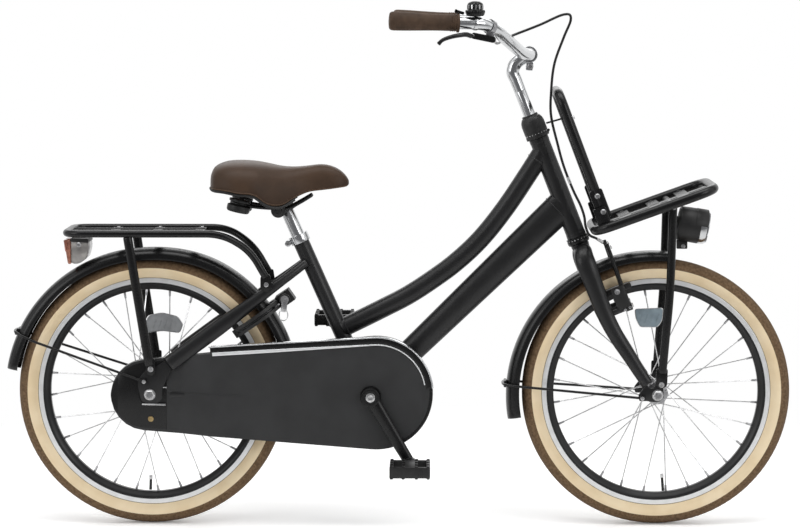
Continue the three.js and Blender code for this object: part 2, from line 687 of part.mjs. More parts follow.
// Brake lever: bracket under the bar and a blade that pulls up towards the grip
const bracketShare = bandShare(166);
const leverFoot = bar.getPointAt(bracketShare);
const leverHousing = block(v(157.5, -236, 912.5), v(38, 13, 11), 0.2);
const leverNeck = rod(along(leverFoot, v(0, 0, -1), 15.4), v(162, -233, 914), 4.8, 8);
piece('brake_lever_bracket',
  join(leverHousing, leverNeck, barBand(bracketShare, 9, 16.5)), 'glossBlack');
const leverCurve = smooth([
  v(132, -245.5, 916.5), v(123, -257, 919), v(112, -265, 918), v(95, -270, 914.5),
  v(81, -270.5, 909), v(74, -270.5, 902),
]);
const leverSize = (t) => ({ high: 4.6 - 1.2 * t, wide: 6.4 - 1 * t });
piece('brake_lever', taperedTube(leverCurve, leverSize, 8, 8), 'glossBlack');

// Brake cable: from the lever bracket over the front and down to the brake
const cablePoints = [
  v(172, -228.8, 909.5), v(173, -222, 908.5), v(175, -205, 905.5), v(178, -180, 902.5),
  v(183, -150, 902.5), v(192, -124, 908), v(209, -111, 915.2), v(258, -104, 934.2),
  v(302, -100, 953), v(313, -98, 952.5), v(315, -96, 944), v(303, -88, 912), v(286.6, -74, 863),
  v(281.4, -62, 811.8), v(281.7, -54, 768.8), v(294, -50, 716.4), v(306.2, -50, 673.3),
  v(324.9, -47, 626.9), v(337.4, -42, 601.9), v(345, -35, 580), v(348, -31, 561), v(355, -28, 545.5),
  v(369, -26, 538.5), v(383, -25, 529.5),
];
piece('brake_cable', tube(smooth(cablePoints), 2.4, 34, 5), 'plastic');

// Brake arms: they stand in front of the fork blades and carry the pads
function brakeArm(side) {
  const pivot = brakePivot.clone().setY(side * brakePivot.y);
  const armLow = along(pivot, steerUp, -7);
  const armHigh = v(386.5, side * 42, 530);
  const arm = taperedTube(new THREE.LineCurve3(armLow, armHigh),
    (t) => ({ high: 5.5 - 1.5 * t, wide: 7.5 - 3 * t }), 1, 6);
  const hub = rod(along(pivot, steerForward, -7), along(pivot, steerForward, 6), 8.5, 10);
  const padCentre = along(along(pivot, steerUp, 34), steerForward, -8).setY(side * 21.3);
  const pad = block(padCentre, v(54, 11, 10), -Math.atan2(steerForward.z, steerForward.x));
  const post = rod(padCentre.clone().setY(side * 24), padCentre.clone().setY(side * 46), 5, 6);
  const bore = rod(along(pivot, steerForward, -20), along(pivot, steerForward, 20), 4.7, 8);
  return cut(join(arm, hub, pad, post), bore);
}

piece('brake_arm_right', brakeArm(-1), 'glossBlack');
piece('brake_arm_left', brakeArm(1), 'glossBlack');

// Front carrier: a looped platform on two legs, with a backrest hoop bolted to its sides
const deckRear = v(364, 0, 557.5);
const deckTilt = 0.347;
const deckForward = v(Math.cos(deckTilt), 0, Math.sin(deckTilt));
const deckUp = v(-Math.sin(deckTilt), 0, Math.cos(deckTilt));
const deckLength = 230;
const deckHalfWidth = 100;

function deckAt(forward, y, up = 0) {
  return along(along(deckRear, deckForward, forward), deckUp, up).setY(y);
}

function deckLoopHalf(side) {
  const points = [
    deckAt(0, -side * 3), deckAt(0, side * deckHalfWidth), deckAt(deckLength, side * deckHalfWidth),
    deckAt(deckLength, -side * 3),
  ];
  return tube(bent(points, 38), carrierTubeRadius, 12, 8);
}

function frontLeg(side) {
  const top = v(505.7, side * 76, 604);
  const knee = v(501, side * 74, 440);
  const shin = v(494, side * 69, 350);
  const foot = v(489.5, side * 64.5, 292);
  const tab = plate([[478.5, 300], [500, 300], [499, 268], [488, 261], [478, 268]],
    side > 0 ? 58.2 : -62.2, side > 0 ? 62.2 : -58.2);
  const shank = taperedTube(smooth([top, knee, shin, foot]),
    (t) => ({ high: 7.7, wide: 7 - 2 * t * t }), 4, 8);
  return join(shank, tab);
}

const slatSize = v(22, 2 * deckHalfWidth - 4, 3);
const frontSlats = [62, 120, 176].map((d) => block(deckAt(d, 0), slatSize, -deckTilt));
const frontRunner = block(deckAt(deckLength / 2, 0, 0), v(deckLength - 14, 22, 3), -deckTilt);
const legBeam = rod(v(505.5, -93, 603), v(505.5, 93, 603), 7, 10);
const lampPlate = block(v(509, 0, 573), v(3, 24, 62));
const footBrackets = [-1, 1].map((side) => block(deckAt(19, side * 90, 20), v(24, 5.4, 38), -deckTilt));
piece('front_carrier', join(deckLoopHalf(-1), deckLoopHalf(1), ...frontSlats, frontRunner, legBeam,
  lampPlate, ...footBrackets, frontLeg(-1), frontLeg(1)), 'glossBlack');

const hoopHalfWidth = 78;
const hoopFoot = v(378, 0, 590);
const hoopTop = v(294.5, 0, 810);
const hoopUp = hoopTop.clone().sub(hoopFoot).normalize();
const hoopHalf = (side) => tube(bent([
  hoopFoot.clone().setY(side * hoopHalfWidth), hoopTop.clone().setY(side * hoopHalfWidth),
  hoopTop.clone().setY(-side * 3),
], 34), carrierTubeRadius, 9, 8);
const hoopPlates = [-1, 1].map((side) => block(
  along(hoopFoot, hoopUp, 18).setY(side * 84), v(25, 5, 56), Math.atan2(hoopUp.x, hoopUp.z)));
const hoopBarCentre = along(hoopFoot, hoopUp, 184).setY(0);
const hoopBar = rod(hoopBarCentre.clone().setY(-hoopHalfWidth),
  hoopBarCentre.clone().setY(hoopHalfWidth), 5, 8);
const coverFront = along(headAt(218), steerForward, 23.4);
const hoopStrut = rod(coverFront, hoopBarCentre, 3, 8);
piece('front_carrier_backrest', join(hoopHalf(-1), hoopHalf(1), ...hoopPlates, hoopBar, hoopStrut),
  'glossBlack');

// Headlight on the plate below the platform: a drum with a clear front
const lampAim = v(1, 0, -0.168).normalize();
const lampBack = v(513, 0, 567.6);
const lampRadius = 32.5;
const lampShell = join(
  rod(along(lampBack, lampAim, 8), along(lampBack, lampAim, 49), 26, 16, lampRadius),
  rod(lampBack, along(lampBack, lampAim, 12), 12, 12));
piece('headlight_housing', lampShell, 'plastic');
piece('headlight_lens', rod(along(lampBack, lampAim, 49 + GAP), along(lampBack, lampAim, 61.5),
  lampRadius, 16, 31), 'clearLens');

// Rear carrier: looped rails with slats, legs to the dropouts and front ends on the seat stays
function rearRail(side) {
  const y = side * rearCarrierHalfWidth;
  const points = [
    v(-613, -side * 3, rearCarrierHeight), v(-613, y, rearCarrierHeight),
    v(-322, y, rearCarrierHeight), v(-272, side * 53, 517), v(-244, side * 53, 468),
  ];
  return tube(bent(points, 34), rearCarrierTubeRadius, 15, 8);
}

function rearLeg(side) {
  const top = v(-497, side * 74, 545);
  const foot = v(-460, side * 65, 305);
  const tab = plate([[-468, 318], [-449, 318], [-449, 290], [-457, 285], [-466, 290]],
    side > 0 ? 60.4 : -64.4, side > 0 ? 64.4 : -60.4);
  return join(taperedTube(new THREE.LineCurve3(top, foot), (t) => ({ high: 8.5, wide: 7 - 2 * t }), 1, 8),
    tab);
}

const rearFrontTab = (side) => plate([[-254, 470], [-236, 474], [-232, 448], [-242, 440], [-254, 446]],
  side > 0 ? 50.8 : -54.8, side > 0 ? 54.8 : -50.8);
const rearSlats = [-528, -449, -370].map((x) => block(
  v(x, 0, rearCarrierHeight), v(18, 2 * rearCarrierHalfWidth - 4, 3)));
const rearRunners = [-22, 22].map((y) => rod(
  v(-613, y, rearCarrierHeight), v(-362, y, rearCarrierHeight), 3.5, 8));
const lightPlate = block(v(-597, 0, 541.5), v(34, 26, 4));
const lightHanger = block(v(-613, 0, 542), v(6, 26, 5));
piece('rear_carrier', join(rearRail(-1), rearRail(1), ...rearSlats, ...rearRunners, lightPlate,
  lightHanger, rearLeg(-1), rearLeg(1), rearFrontTab(-1), rearFrontTab(1)), 'glossBlack');

const tailBody = plate([[-607, 538], [-576, 538], [-574, 520], [-579, 500], [-592, 491], [-607, 491]],
  -34, 34);
piece('tail_light_housing', tailBody, 'plastic');
piece('tail_light_lens', plate([[-621, 536], [-607.4, 536], [-607.4, 490], [-613, 491], [-616, 510]],
  -34, 34), 'redLens');

// Ring lock: a horseshoe case below the seat stays, with a round shackle that turns inside it
const lockUp = v(Math.cos(lockAngle), 0, Math.sin(lockAngle));
const lockAxis = v(-Math.sin(lockAngle), 0, Math.cos(lockAngle));
const lockCentre = along(rearAxle, lockUp, 238);
const lockRadius = 55;
const lockOpenHalf = 42;

// A curve round the lock's circle; zero degrees points away from the hub
function lockArc(fromDegrees, toDegrees, count) {
  const points = [];
  for (let i = 0; i <= count; i += 1) {
    const angle = THREE.MathUtils.degToRad(fromDegrees + ((toDegrees - fromDegrees) * i) / count);
    const point = along(lockCentre, lockUp, lockRadius * Math.cos(angle));
    points.push(point.addScaledVector(v(0, 1, 0), lockRadius * Math.sin(angle)));
  }
  return new THREE.CatmullRomCurve3(points);
}

// Turns a flat outline in the lock's plane into a slab, centred on that plane
function lockSlab(outline, thickness) {
  const shape = new THREE.Shape(outline.map(([up, y]) => new THREE.Vector2(up, y)));
  const geometry = new THREE.ExtrudeGeometry(shape, { depth: thickness, bevelEnabled: false });
  geometry.translate(0, 0, -thickness / 2);
  const basis = new THREE.Matrix4().makeBasis(lockUp, v(0, 1, 0), lockAxis.clone());
  geometry.applyMatrix4(basis);
  geometry.translate(lockCentre.x, lockCentre.y, lockCentre.z);
  return solid(geometry);
}

function lockBody() {
  const sweep = 180 - lockOpenHalf;
  const outer = arcXZ([0, 0], lockRadius + 8, -sweep, sweep, 12);
  const inner = arcXZ([0, 0], lockRadius - 8, sweep, -sweep, 12);
  const horseshoe = lockSlab([...outer, ...inner], 16);
  const head = lockSlab([[52, -26], [82, -22], [82, 16], [52, 26]], 24);
  const inside = lockSlab(arcXZ([0, 0], lockRadius - 7.5, 0, 330, 11), 40);
  const channel = tube(lockArc(-sweep - 12, sweep + 12, 18), 6.5, 18, 5);
  const knobSlot = lockSlab([...arcXZ([0, 0], lockRadius + 12, -132, -36, 5),
    ...arcXZ([0, 0], lockRadius, -36, -132, 5)], 4.4);
  return cut(join(horseshoe, cut(head, inside)), channel, knobSlot);
}

const shackleSpan = [-138, 136];
const knobAngle = THREE.MathUtils.degToRad(-44);
const knobRoot = along(lockCentre, lockUp, lockRadius * Math.cos(knobAngle))
  .add(v(0, lockRadius * Math.sin(knobAngle), 0));
const knobTip = along(lockCentre, lockUp, (lockRadius + 22) * Math.cos(knobAngle))
  .add(v(0, (lockRadius + 22) * Math.sin(knobAngle), 0));
piece('ring_lock_case', lockBody(), 'plastic');
piece('ring_lock_shackle', join(
  tube(lockArc(shackleSpan[0], -30, 11), 4, 11, 6), rod(knobRoot, knobTip, 1.8, 6)), 'steel');

// Drive: chainring and spindle in the bracket, cranks, pedals, sprocket and chain
const crankDirection = v(Math.sin(crankAngle), 0, -Math.cos(crankAngle));
const rightPedalAxle = along(bracketCentre, crankDirection, crankLength);
const leftPedalAxle = along(bracketCentre, crankDirection, -crankLength);
const crankInnerY = 68;
const crankThickness = 13;
const pedalInnerY = 92;
const pedalOuterY = 180;
const spindleRadius = 8.5;

function crankArm(side, pedalAxle) {
  const y = side * (crankInnerY + crankThickness / 2);
  const root = bracketCentre.clone().setY(y);
  const tip = pedalAxle.clone().setY(y);
  const arm = taperedTube(new THREE.LineCurve3(root, tip), (t) => ({ high: 13 - 3 * t, wide: 6 }), 1, 8);
  const boss = rod(bracketCentre.clone().setY(side * crankInnerY),
    bracketCentre.clone().setY(side * (crankInnerY + crankThickness + 3)), 17, 14);
  const eye = rod(pedalAxle.clone().setY(side * crankInnerY),
    pedalAxle.clone().setY(side * (crankInnerY + crankThickness + 2)), 12, 10);
  const pin = rod(pedalAxle.clone().setY(side * (crankInnerY + 6)),
    pedalAxle.clone().setY(side * (pedalOuterY - 6)), 4.5, 8);
  return join(arm, boss, eye, pin);
}

const spindle = rod(bracketCentre.clone().setY(-crankInnerY - 4), bracketCentre.clone().setY(70),
  spindleRadius, 12);
const spindleBore = rod(bracketCentre.clone().setY(60), bracketCentre.clone().setY(71),
  spindleRadius + GAP + 0.4, 12);
piece('crank_right', join(spindle, crankArm(-1, rightPedalAxle)), 'glossBlack');
piece('crank_left', cut(crankArm(1, leftPedalAxle), spindleBore), 'glossBlack');

function pedal(side, axlePoint) {
  const middleY = side * ((pedalInnerY + pedalOuterY) / 2);
  const cage = block(axlePoint.clone().setY(middleY), v(74, pedalOuterY - pedalInnerY, 24));
  const windows = [-1, 1].map((front) => block(
    v(axlePoint.x + front * 22, middleY, axlePoint.z), v(16, pedalOuterY - pedalInnerY - 20, 40)));
  const bore = rod(axlePoint.clone().setY(side * (pedalInnerY - 5)),
    axlePoint.clone().setY(side * (pedalOuterY - 4)), 5.6, 8);
  return cut(cage, ...windows, bore);
}

piece('pedal_right', pedal(-1, rightPedalAxle), 'plastic');
piece('pedal_left', pedal(1, leftPedalAxle), 'plastic');

function wheelDisc(centre, bore, outer, y, thickness, sides, windows) {
  let disc = turnedAt(sleeve(bore, outer, y - thickness / 2, y + thickness / 2), sides, centre, v(0, 1, 0));
  for (let i = 0; i < windows; i += 1) {
    const angle = (i / windows) * 2 * Math.PI;
    const at = v(centre.x + outer * 0.56 * Math.cos(angle), 0, centre.z + outer * 0.56 * Math.sin(angle));
    disc = disc.subtract(rod(at.clone().setY(y - 9), at.clone().setY(y + 9), outer * 0.22, 6));
  }
  return disc;
}

piece('chainring', wheelDisc(bracketCentre, spindleRadius + 0.5, chainringRadius, chainLineY, 2.4, 28, 4),
  'steel');
piece('rear_sprocket', wheelDisc(rearAxle, 10, sprocketRadius, chainLineY, 2.4, 18, 0), 'steel');

const caseRear = [caseRearX, bracketCentre.z];
const caseFront = [-39.4, 253];
const axleSpot = [rearAxle.x, rearAxle.z];
const bracketSpot = [bracketCentre.x, bracketCentre.z];
const chainOuter = plate(beltOutline(axleSpot, sprocketRadius + 8, bracketSpot, chainringRadius + 8, 10),
  chainLineY - 4, chainLineY + 4);
const chainInner = plate(beltOutline(axleSpot, sprocketRadius + 1, bracketSpot, chainringRadius + 1.2, 10),
  chainLineY - 9, chainLineY + 9);
piece('chain', cut(chainOuter, chainInner), 'steel');

// Chain case: a hollow shell round the chain, stepped in at the rear to pass inside the dropout
function caseSolid(inset) {
  const outline = beltOutline(caseRear, caseRearRadius - inset, caseFront, caseFrontRadius - inset, 11);
  const slab = plate(outline, caseOuterY + inset, caseInnerY - inset);
  const planform = new THREE.Shape([
    new THREE.Vector2(-600, caseOuterY - 20), new THREE.Vector2(-345 - inset, caseOuterY - 20),
    new THREE.Vector2(-345 - inset, caseOuterY + inset),
    new THREE.Vector2(-400 - inset, caseRearOuterY + inset),
    new THREE.Vector2(-600, caseRearOuterY + inset),
  ]);
  const step = new THREE.ExtrudeGeometry(planform, { depth: 400, bevelEnabled: false });
  return slab.subtract(solid(step));
}

function holeY(x, z, radius, yLow, yHigh, sides = 14) {
  return rod(v(x, yLow, z), v(x, yHigh, z), radius, sides);
}

const stayRoom = taperedTube(smooth(chainStayPointsRight), (t) => {
  const size = chainStaySize(t);
  return { high: size.high + 1.2, wide: size.wide + 1.2 };
}, 9, 8);
const seatStayRoom = taperedTube(smooth(mirrored(seatStayPoints)), (t) => {
  const size = seatStaySize(t);
  return { high: size.high + 1.2, wide: size.wide + 1.2 };
}, 9, 8);
const caseHoles = [
  holeY(bracketCentre.x, bracketCentre.z, 19, caseOuterY - 5, caseOuterY + 5),
  holeY(bracketCentre.x, bracketCentre.z, bracketRadius + 1, caseInnerY - 5, caseInnerY + 5),
  holeY(rearAxle.x, rearAxle.z, 36.5, caseInnerY - 5, caseInnerY + 5, 16),
  holeY(rearAxle.x, rearAxle.z, 11, -60, -48),
];
const caseBody = cut(caseSolid(0), caseSolid(caseWall), ...caseHoles, stayRoom, seatStayRoom);
piece('chaincase', caseBody, 'panel');

// Bright strip along the top edge of the chain case
const stripOuter = beltOutline(caseRear, caseRearRadius + 2.2, caseFront, caseFrontRadius + 2.2, 11);
const stripInner = beltOutline(caseRear, caseRearRadius + GAP, caseFront, caseFrontRadius + GAP, 11);
const stripRing = cut(plate(stripOuter, caseOuterY - 2, caseOuterY + 10),
  plate(stripInner, caseOuterY - 5, caseOuterY + 15));
const stripFace = cut(plate(stripOuter, caseOuterY - 2, caseOuterY - GAP),
  plate(beltOutline(caseRear, caseRearRadius - 7, caseFront, caseFrontRadius - 7, 11),
    caseOuterY - 5, caseOuterY + 15));
const stripSpan = plate([[-345, 300], [-345, 420], [90, 420], [90, 262], [-20, 262], [-60, 300]],
  caseOuterY - 10, caseOuterY + 20);
piece('chaincase_trim', join(stripRing, stripFace).intersect(stripSpan), 'chrome');

// Coaster brake arm along the left chain stay
const armClear = 45.4;
const coasterArm = plate([
  [-474, 238], [-446, 236], [-300, 224], [-298, 231], [-420, 239], [-446, 264], [-474, 264],
], armClear, armClear + 3);
piece('coaster_brake_arm', cut(coasterArm, holeY(rearAxle.x, rearAxle.z, 9.6, 40, 54)), 'steel');

// Kickstand: folded back under the left chain stay
const standAxis = v(0, -0.907, -0.42);
const standBarrel = rod(along(kickstandPivot, standAxis, -5), along(kickstandPivot, standAxis, 7), 9, 10);
const standElbow = v(-190, 60, 224);
const standFoot = v(-376, 66, 226);
const standLeg = join(rod(kickstandPivot, standElbow, 6.5, 8), rod(standElbow, standFoot, 6.5, 8, 5.5),
  rod(standFoot, along(standFoot, v(-1, 0, 0), 12), 8.5, 8));
piece('kickstand', join(standBarrel, standLeg), 'glossBlack');

export default bicycle;
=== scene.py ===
# %% [markdown]
# # A small city bicycle, piece by piece
# The bicycle's solids come packed from CAD and are loaded as a fixed frame. Every piece below
# stands where one of those solids stands, but is rounder, finer and has a real finish.
# Sizes are written in millimetres, because that is how bicycles are measured, and turned
# into metres in one place.

# %% Load the frame
import bpy
import bmesh
import json
import math
import numpy as np
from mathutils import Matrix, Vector


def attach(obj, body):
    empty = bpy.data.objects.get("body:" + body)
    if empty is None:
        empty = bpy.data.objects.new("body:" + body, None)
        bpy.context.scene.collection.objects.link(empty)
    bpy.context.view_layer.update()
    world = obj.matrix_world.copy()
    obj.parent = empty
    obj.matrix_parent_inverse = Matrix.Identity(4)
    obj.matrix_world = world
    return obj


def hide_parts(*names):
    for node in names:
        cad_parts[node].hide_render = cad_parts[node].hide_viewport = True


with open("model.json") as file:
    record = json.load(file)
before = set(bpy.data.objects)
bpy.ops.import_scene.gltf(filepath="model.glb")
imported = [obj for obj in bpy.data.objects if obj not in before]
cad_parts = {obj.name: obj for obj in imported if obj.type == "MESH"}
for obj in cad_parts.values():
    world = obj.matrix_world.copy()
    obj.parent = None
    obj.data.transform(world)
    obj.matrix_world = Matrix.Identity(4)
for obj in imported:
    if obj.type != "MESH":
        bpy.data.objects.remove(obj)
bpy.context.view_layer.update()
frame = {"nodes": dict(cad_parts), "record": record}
MM = 0.001
SIDES = ((-1, "right"), (1, "left"))
ACROSS = (0, 1, 0)
TURN = 2 * math.pi
scene = bpy.context.scene

# %% [markdown]
# ## The camera
# The photograph is a product shot from the side, taken from the height of the handlebar. The
# camera stands 5.2 m away and looks down by less than six degrees. Its distance was found by
# matching the near and far ends of the axles and the pedal.

# %% Camera
IMAGE_WIDTH, SENSOR_WIDTH = 800, 36
FOCAL_PIXELS = 2799.1
EYE = (0.0668, -5.2, 0.993)
LOOKS_DOWN, TURNS_LEFT = math.radians(5.564), math.radians(0.695)
camera_data = bpy.data.cameras.new("camera")
camera_data.sensor_width = SENSOR_WIDTH
camera_data.lens = FOCAL_PIXELS / IMAGE_WIDTH * SENSOR_WIDTH
camera = bpy.data.objects.new("camera", camera_data)
camera.location = EYE
camera.rotation_euler = (math.radians(90) - LOOKS_DOWN, 0, TURNS_LEFT)
scene.collection.objects.link(camera)
scene.camera = camera
scene.view_settings.view_transform = "Standard"
print("lens", round(camera_data.lens, 2), "mm")

# %% [markdown]
# ## Finishes as small node trees
# A real finish is never one flat colour. Each material below mixes two close colours by a soft
# noise, lets a second, finer noise change the gloss, and uses the same fine noise for a shallow
# bump. The noise is read in object coordinates, so it stays on the piece when the piece moves.

# %% Material helper
def wire(tree, node, inputs):
    """Fills a node's inputs: a socket is linked, anything else is a plain value."""
    for name, value in inputs.items():
        if isinstance(value, bpy.types.NodeSocket):
            tree.links.new(value, node.inputs[name])
        else:
            node.inputs[name].default_value = value
    return node


def add_node(tree, kind, inputs=None, **settings):
    node = tree.nodes.new("ShaderNode" + kind)
    for name, value in settings.items():
        setattr(node, name, value)
    return wire(tree, node, inputs or {})


def noise_on(tree, scale, detail=4.0):
    """A noise texture fixed to the object."""
    place = add_node(tree, "TexCoord").outputs["Object"]
    return add_node(tree, "TexNoise", {"Scale": scale, "Detail": detail, "Vector": place}).outputs["Fac"]


def ramp_from(tree, source, low, high, start=0.35, end=0.65):
    """Turns a grey value into a colour between low and high."""
    ramp = add_node(tree, "ValToRGB", {"Fac": source})
    first, last = ramp.color_ramp.elements
    first.position, last.position = start, end
    first.color, last.color = (*low, 1), (*high, 1)
    return ramp.outputs["Color"]


def remapped(tree, value, start, stop, low=0.0, high=1.0):
    """Carries a value from the range start to stop over to low to high."""
    return add_node(tree, "MapRange", {"Value": value, "From Min": start, "From Max": stop,
                                       "To Min": low, "To Max": high}).outputs["Result"]


def blended(tree, share, first, second):
    """A colour between two colours."""
    return add_node(tree, "Mix", {"Factor": share, "A": first, "B": second},
                    data_type="RGBA").outputs["Result"]


def finish(name, dark, light, gloss, metal=0.0, patch=30, grain=900, depth=0.02, coat=0.0, worn=None,
           mirror=0.5):
    """A material whose colour varies from dark to light and whose roughness varies over gloss.
    mirror is how strongly a non-metal reflects; worn is the colour of its rubbed edges."""
    material = bpy.data.materials.new(name)
    material.use_nodes = True
    tree = material.node_tree
    colour = ramp_from(tree, noise_on(tree, patch), dark, light)
    if worn:
        pointed = add_node(tree, "NewGeometry").outputs["Pointiness"]
        edge = ramp_from(tree, pointed, (0, 0, 0), (1, 1, 1), 0.53, 0.6)
        colour = blended(tree, edge, colour, (*worn, 1))
    fine = noise_on(tree, grain, 6.0)
    bump = add_node(tree, "Bump", {"Strength": 0.5, "Distance": depth * MM, "Height": fine})
    wire(tree, tree.nodes["Principled BSDF"], {
        "Metallic": metal, "Coat Weight": coat, "Coat Roughness": 0.08, "Specular IOR Level": mirror,
        "Base Color": colour, "Roughness": remapped(tree, fine, 0.0, 1.0, *gloss),
        "Normal": bump.outputs["Normal"]})
    return material


def see_through(name, colour, roughness, weight, tint=None):
    """Clear or tinted plastic: mostly transmission, with a faint moulded ripple."""
    material = finish(name, colour, tint or colour, (roughness, roughness + 0.05), 0.0, 60, 400, 0.05)
    tree = material.node_tree
    wire(tree, tree.nodes["Principled BSDF"], {"Transmission Weight": weight, "IOR": 1.45})
    return material


# %% [markdown]
# ## The paints and metals of this bicycle
# The frame has a satin black powder coat: dark, with a soft sheen and fine orange peel. The
# mudguards and carriers are gloss black. Handlebar, stem and post are chromed steel, the rims
# are aluminium, and the fasteners are zinc. All of them differ in gloss far more than in colour.

# %% Paints and metals
satin_black = finish("satin_black_paint", (0.0085, 0.0085, 0.009), (0.013, 0.013, 0.0135),
                     (0.28, 0.4), 0.0, 14, 1500, 0.03, worn=(0.02, 0.02, 0.021), mirror=0.42)
gloss_black = finish("gloss_black_paint", (0.004, 0.004, 0.0042), (0.007, 0.007, 0.0072),
                     (0.22, 0.33), 0.0, 10, 700, 0.015, worn=(0.012, 0.012, 0.012), mirror=0.36)
chrome = finish("polished_chrome", (0.64, 0.65, 0.66), (0.72, 0.73, 0.74), (0.14, 0.22), 1.0, 25, 500,
                0.004)
rim_metal = finish("brushed_rim", (0.74, 0.75, 0.76), (0.82, 0.83, 0.84), (0.26, 0.36), 0.45, 60, 1200,
                   0.01)
dull_steel = finish("dull_steel", (0.3, 0.3, 0.31), (0.46, 0.46, 0.47), (0.28, 0.42), 1.0, 60, 900,
                    0.03)
zinc = finish("zinc_bolt", (0.55, 0.55, 0.55), (0.75, 0.75, 0.76), (0.2, 0.35), 1.0, 120, 1500, 0.02)
yellow_zinc = finish("yellow_zinc_bolt", (0.42, 0.3, 0.14), (0.6, 0.45, 0.22), (0.25, 0.4), 1.0, 120,
                     1500, 0.02)

# %% [markdown]
# Plastics scatter light at the surface, so they are rougher than paint. The chain case is a
# charcoal panel with a fine leather-like grain, a little lighter than the frame.

# %% Plastics
case_panel = finish("case_panel_grained", (0.015, 0.0153, 0.016), (0.021, 0.0214, 0.0225), (0.56, 0.72),
                    0.0, 18, 1100, 0.09)
black_plastic = finish("black_plastic", (0.007, 0.007, 0.007), (0.012, 0.012, 0.012), (0.4, 0.56), 0.0,
                       40, 1300, 0.05)
cable_cover = finish("cable_cover", (0.006, 0.006, 0.006), (0.01, 0.01, 0.01), (0.2, 0.3), 0.0, 60,
                     600, 0.02)
clear_lens = see_through("clear_lens", (0.93, 0.95, 0.96), 0.02, 0.95)
tail_lens = see_through("smoked_red_lens", (0.42, 0.16, 0.1), 0.06, 0.6, (0.6, 0.3, 0.22))
smoky_lens = see_through("smoky_clear_lens", (0.3, 0.29, 0.28), 0.05, 0.5, (0.48, 0.46, 0.44))
grey_reflector = see_through("grey_reflector", (0.26, 0.27, 0.28), 0.14, 0.25, (0.34, 0.35, 0.36))
blue_reflector = see_through("blue_reflector", (0.24, 0.3, 0.34), 0.14, 0.25, (0.32, 0.4, 0.45))
red_reflector = finish("red_reflector", (0.42, 0.02, 0.012), (0.55, 0.04, 0.02), (0.12, 0.2), 0.0, 300,
                       900, 0.15, 0.6)
lamp_mirror = finish("lamp_mirror", (0.75, 0.76, 0.78), (0.85, 0.86, 0.87), (0.06, 0.12), 1.0, 80, 500,
                     0.02)

# %% [markdown]
# Rubber and leather are warm here. The tyre has a brown tread and cream walls, moulded from
# two rubbers. The grips and the saddle are the same brown; the saddle has a pebbled leather
# grain, which is cells (a Voronoi texture) rather than noise.

# %% Rubber and leather
tread_brown = finish("tread_brown", (0.105, 0.064, 0.034), (0.175, 0.11, 0.06), (0.72, 0.9), 0.0, 220,
                     1500, 0.12, mirror=0.25)
wall_cream = finish("wall_cream", (0.72, 0.57, 0.36), (0.8, 0.66, 0.45), (0.62, 0.8), 0.0, 20, 900,
                    0.05)
wall_line = finish("wall_line", (0.16, 0.12, 0.08), (0.24, 0.18, 0.12), (0.6, 0.8), 0.0, 50, 900, 0.05)
grip_rubber = finish("grip_rubber", (0.046, 0.027, 0.016), (0.074, 0.044, 0.027), (0.55, 0.75), 0.0, 60,
                     1300, 0.06, mirror=0.25)
saddle_leather = finish("saddle_leather", (0.038, 0.021, 0.012), (0.06, 0.034, 0.02), (0.4, 0.56),
                        0.0, 16, 800, 0.04, worn=(0.1, 0.06, 0.036), mirror=0.22)


def pebble(material, size, depth):
    """Adds leather grain: small rounded cells in front of the bump that is there."""
    tree = material.node_tree
    place = add_node(tree, "TexCoord").outputs["Object"]
    under = next(node for node in tree.nodes if node.type == "BUMP").outputs["Normal"]
    cells = add_node(tree, "TexVoronoi", {"Scale": 1 / (size * MM), "Vector": place}, feature="SMOOTH_F1")
    bump = add_node(tree, "Bump", {"Strength": 0.6, "Distance": depth * MM, "Normal": under,
                                   "Height": cells.outputs["Distance"]}, invert=True)
    wire(tree, tree.nodes["Principled BSDF"], {"Normal": bump.outputs["Normal"]})


pebble(saddle_leather, 1.6, 0.22)
pebble(case_panel, 1.3, 0.12)
print(len(bpy.data.materials), "materials")

# %% [markdown]
# ## From numbers to meshes
# Nearly everything on a bicycle is one of three forms: a tube drawn along a line, something
# turned about an axis, or a flat plate with soft edges. One function for each, working in
# millimetres, and one that turns their results into a piece, is most of the tool box.
# A shape is a list of points, a list of faces and the material it wears.

# %% Lines: smooth ones and bent ones
def unit(vector):
    vector = np.asarray(vector, float)
    return vector / np.linalg.norm(vector)


def mid(x, z):
    """A point, or a direction, in the bicycle's middle plane."""
    return np.array([x, 0.0, z])


def even(points, count):
    """The same line with its points spread evenly along it."""
    points = np.asarray(points, float)
    steps = np.r_[0, np.cumsum(np.linalg.norm(np.diff(points, axis=0), axis=1))]
    at = np.linspace(0, steps[-1], count)
    return np.column_stack([np.interp(at, steps, points[:, i]) for i in range(points.shape[1])])


def smooth_line(points, count):
    """A line through all the points without corners (a centripetal Catmull-Rom spline)."""
    p = np.asarray(points, float)
    p = np.vstack([2 * p[0] - p[1], p, 2 * p[-1] - p[-2]])
    out = []
    for i in range(len(p) - 3):
        a, b, c, d = p[i:i + 4]
        t0 = 0.0
        t1 = t0 + np.linalg.norm(b - a) ** 0.5
        t2 = t1 + np.linalg.norm(c - b) ** 0.5
        t3 = t2 + np.linalg.norm(d - c) ** 0.5
        for t in np.linspace(t1, t2, 20, endpoint=False):
            ab = (t1 - t) / (t1 - t0) * a + (t - t0) / (t1 - t0) * b
            bc = (t2 - t) / (t2 - t1) * b + (t - t1) / (t2 - t1) * c
            cd = (t3 - t) / (t3 - t2) * c + (t - t2) / (t3 - t2) * d
            abc = (t2 - t) / (t2 - t0) * ab + (t - t0) / (t2 - t0) * bc
            bcd = (t3 - t) / (t3 - t1) * bc + (t - t1) / (t3 - t1) * cd
            out.append((t2 - t) / (t2 - t1) * abc + (t - t1) / (t2 - t1) * bcd)
    out.append(p[-2])
    return even(out, count)


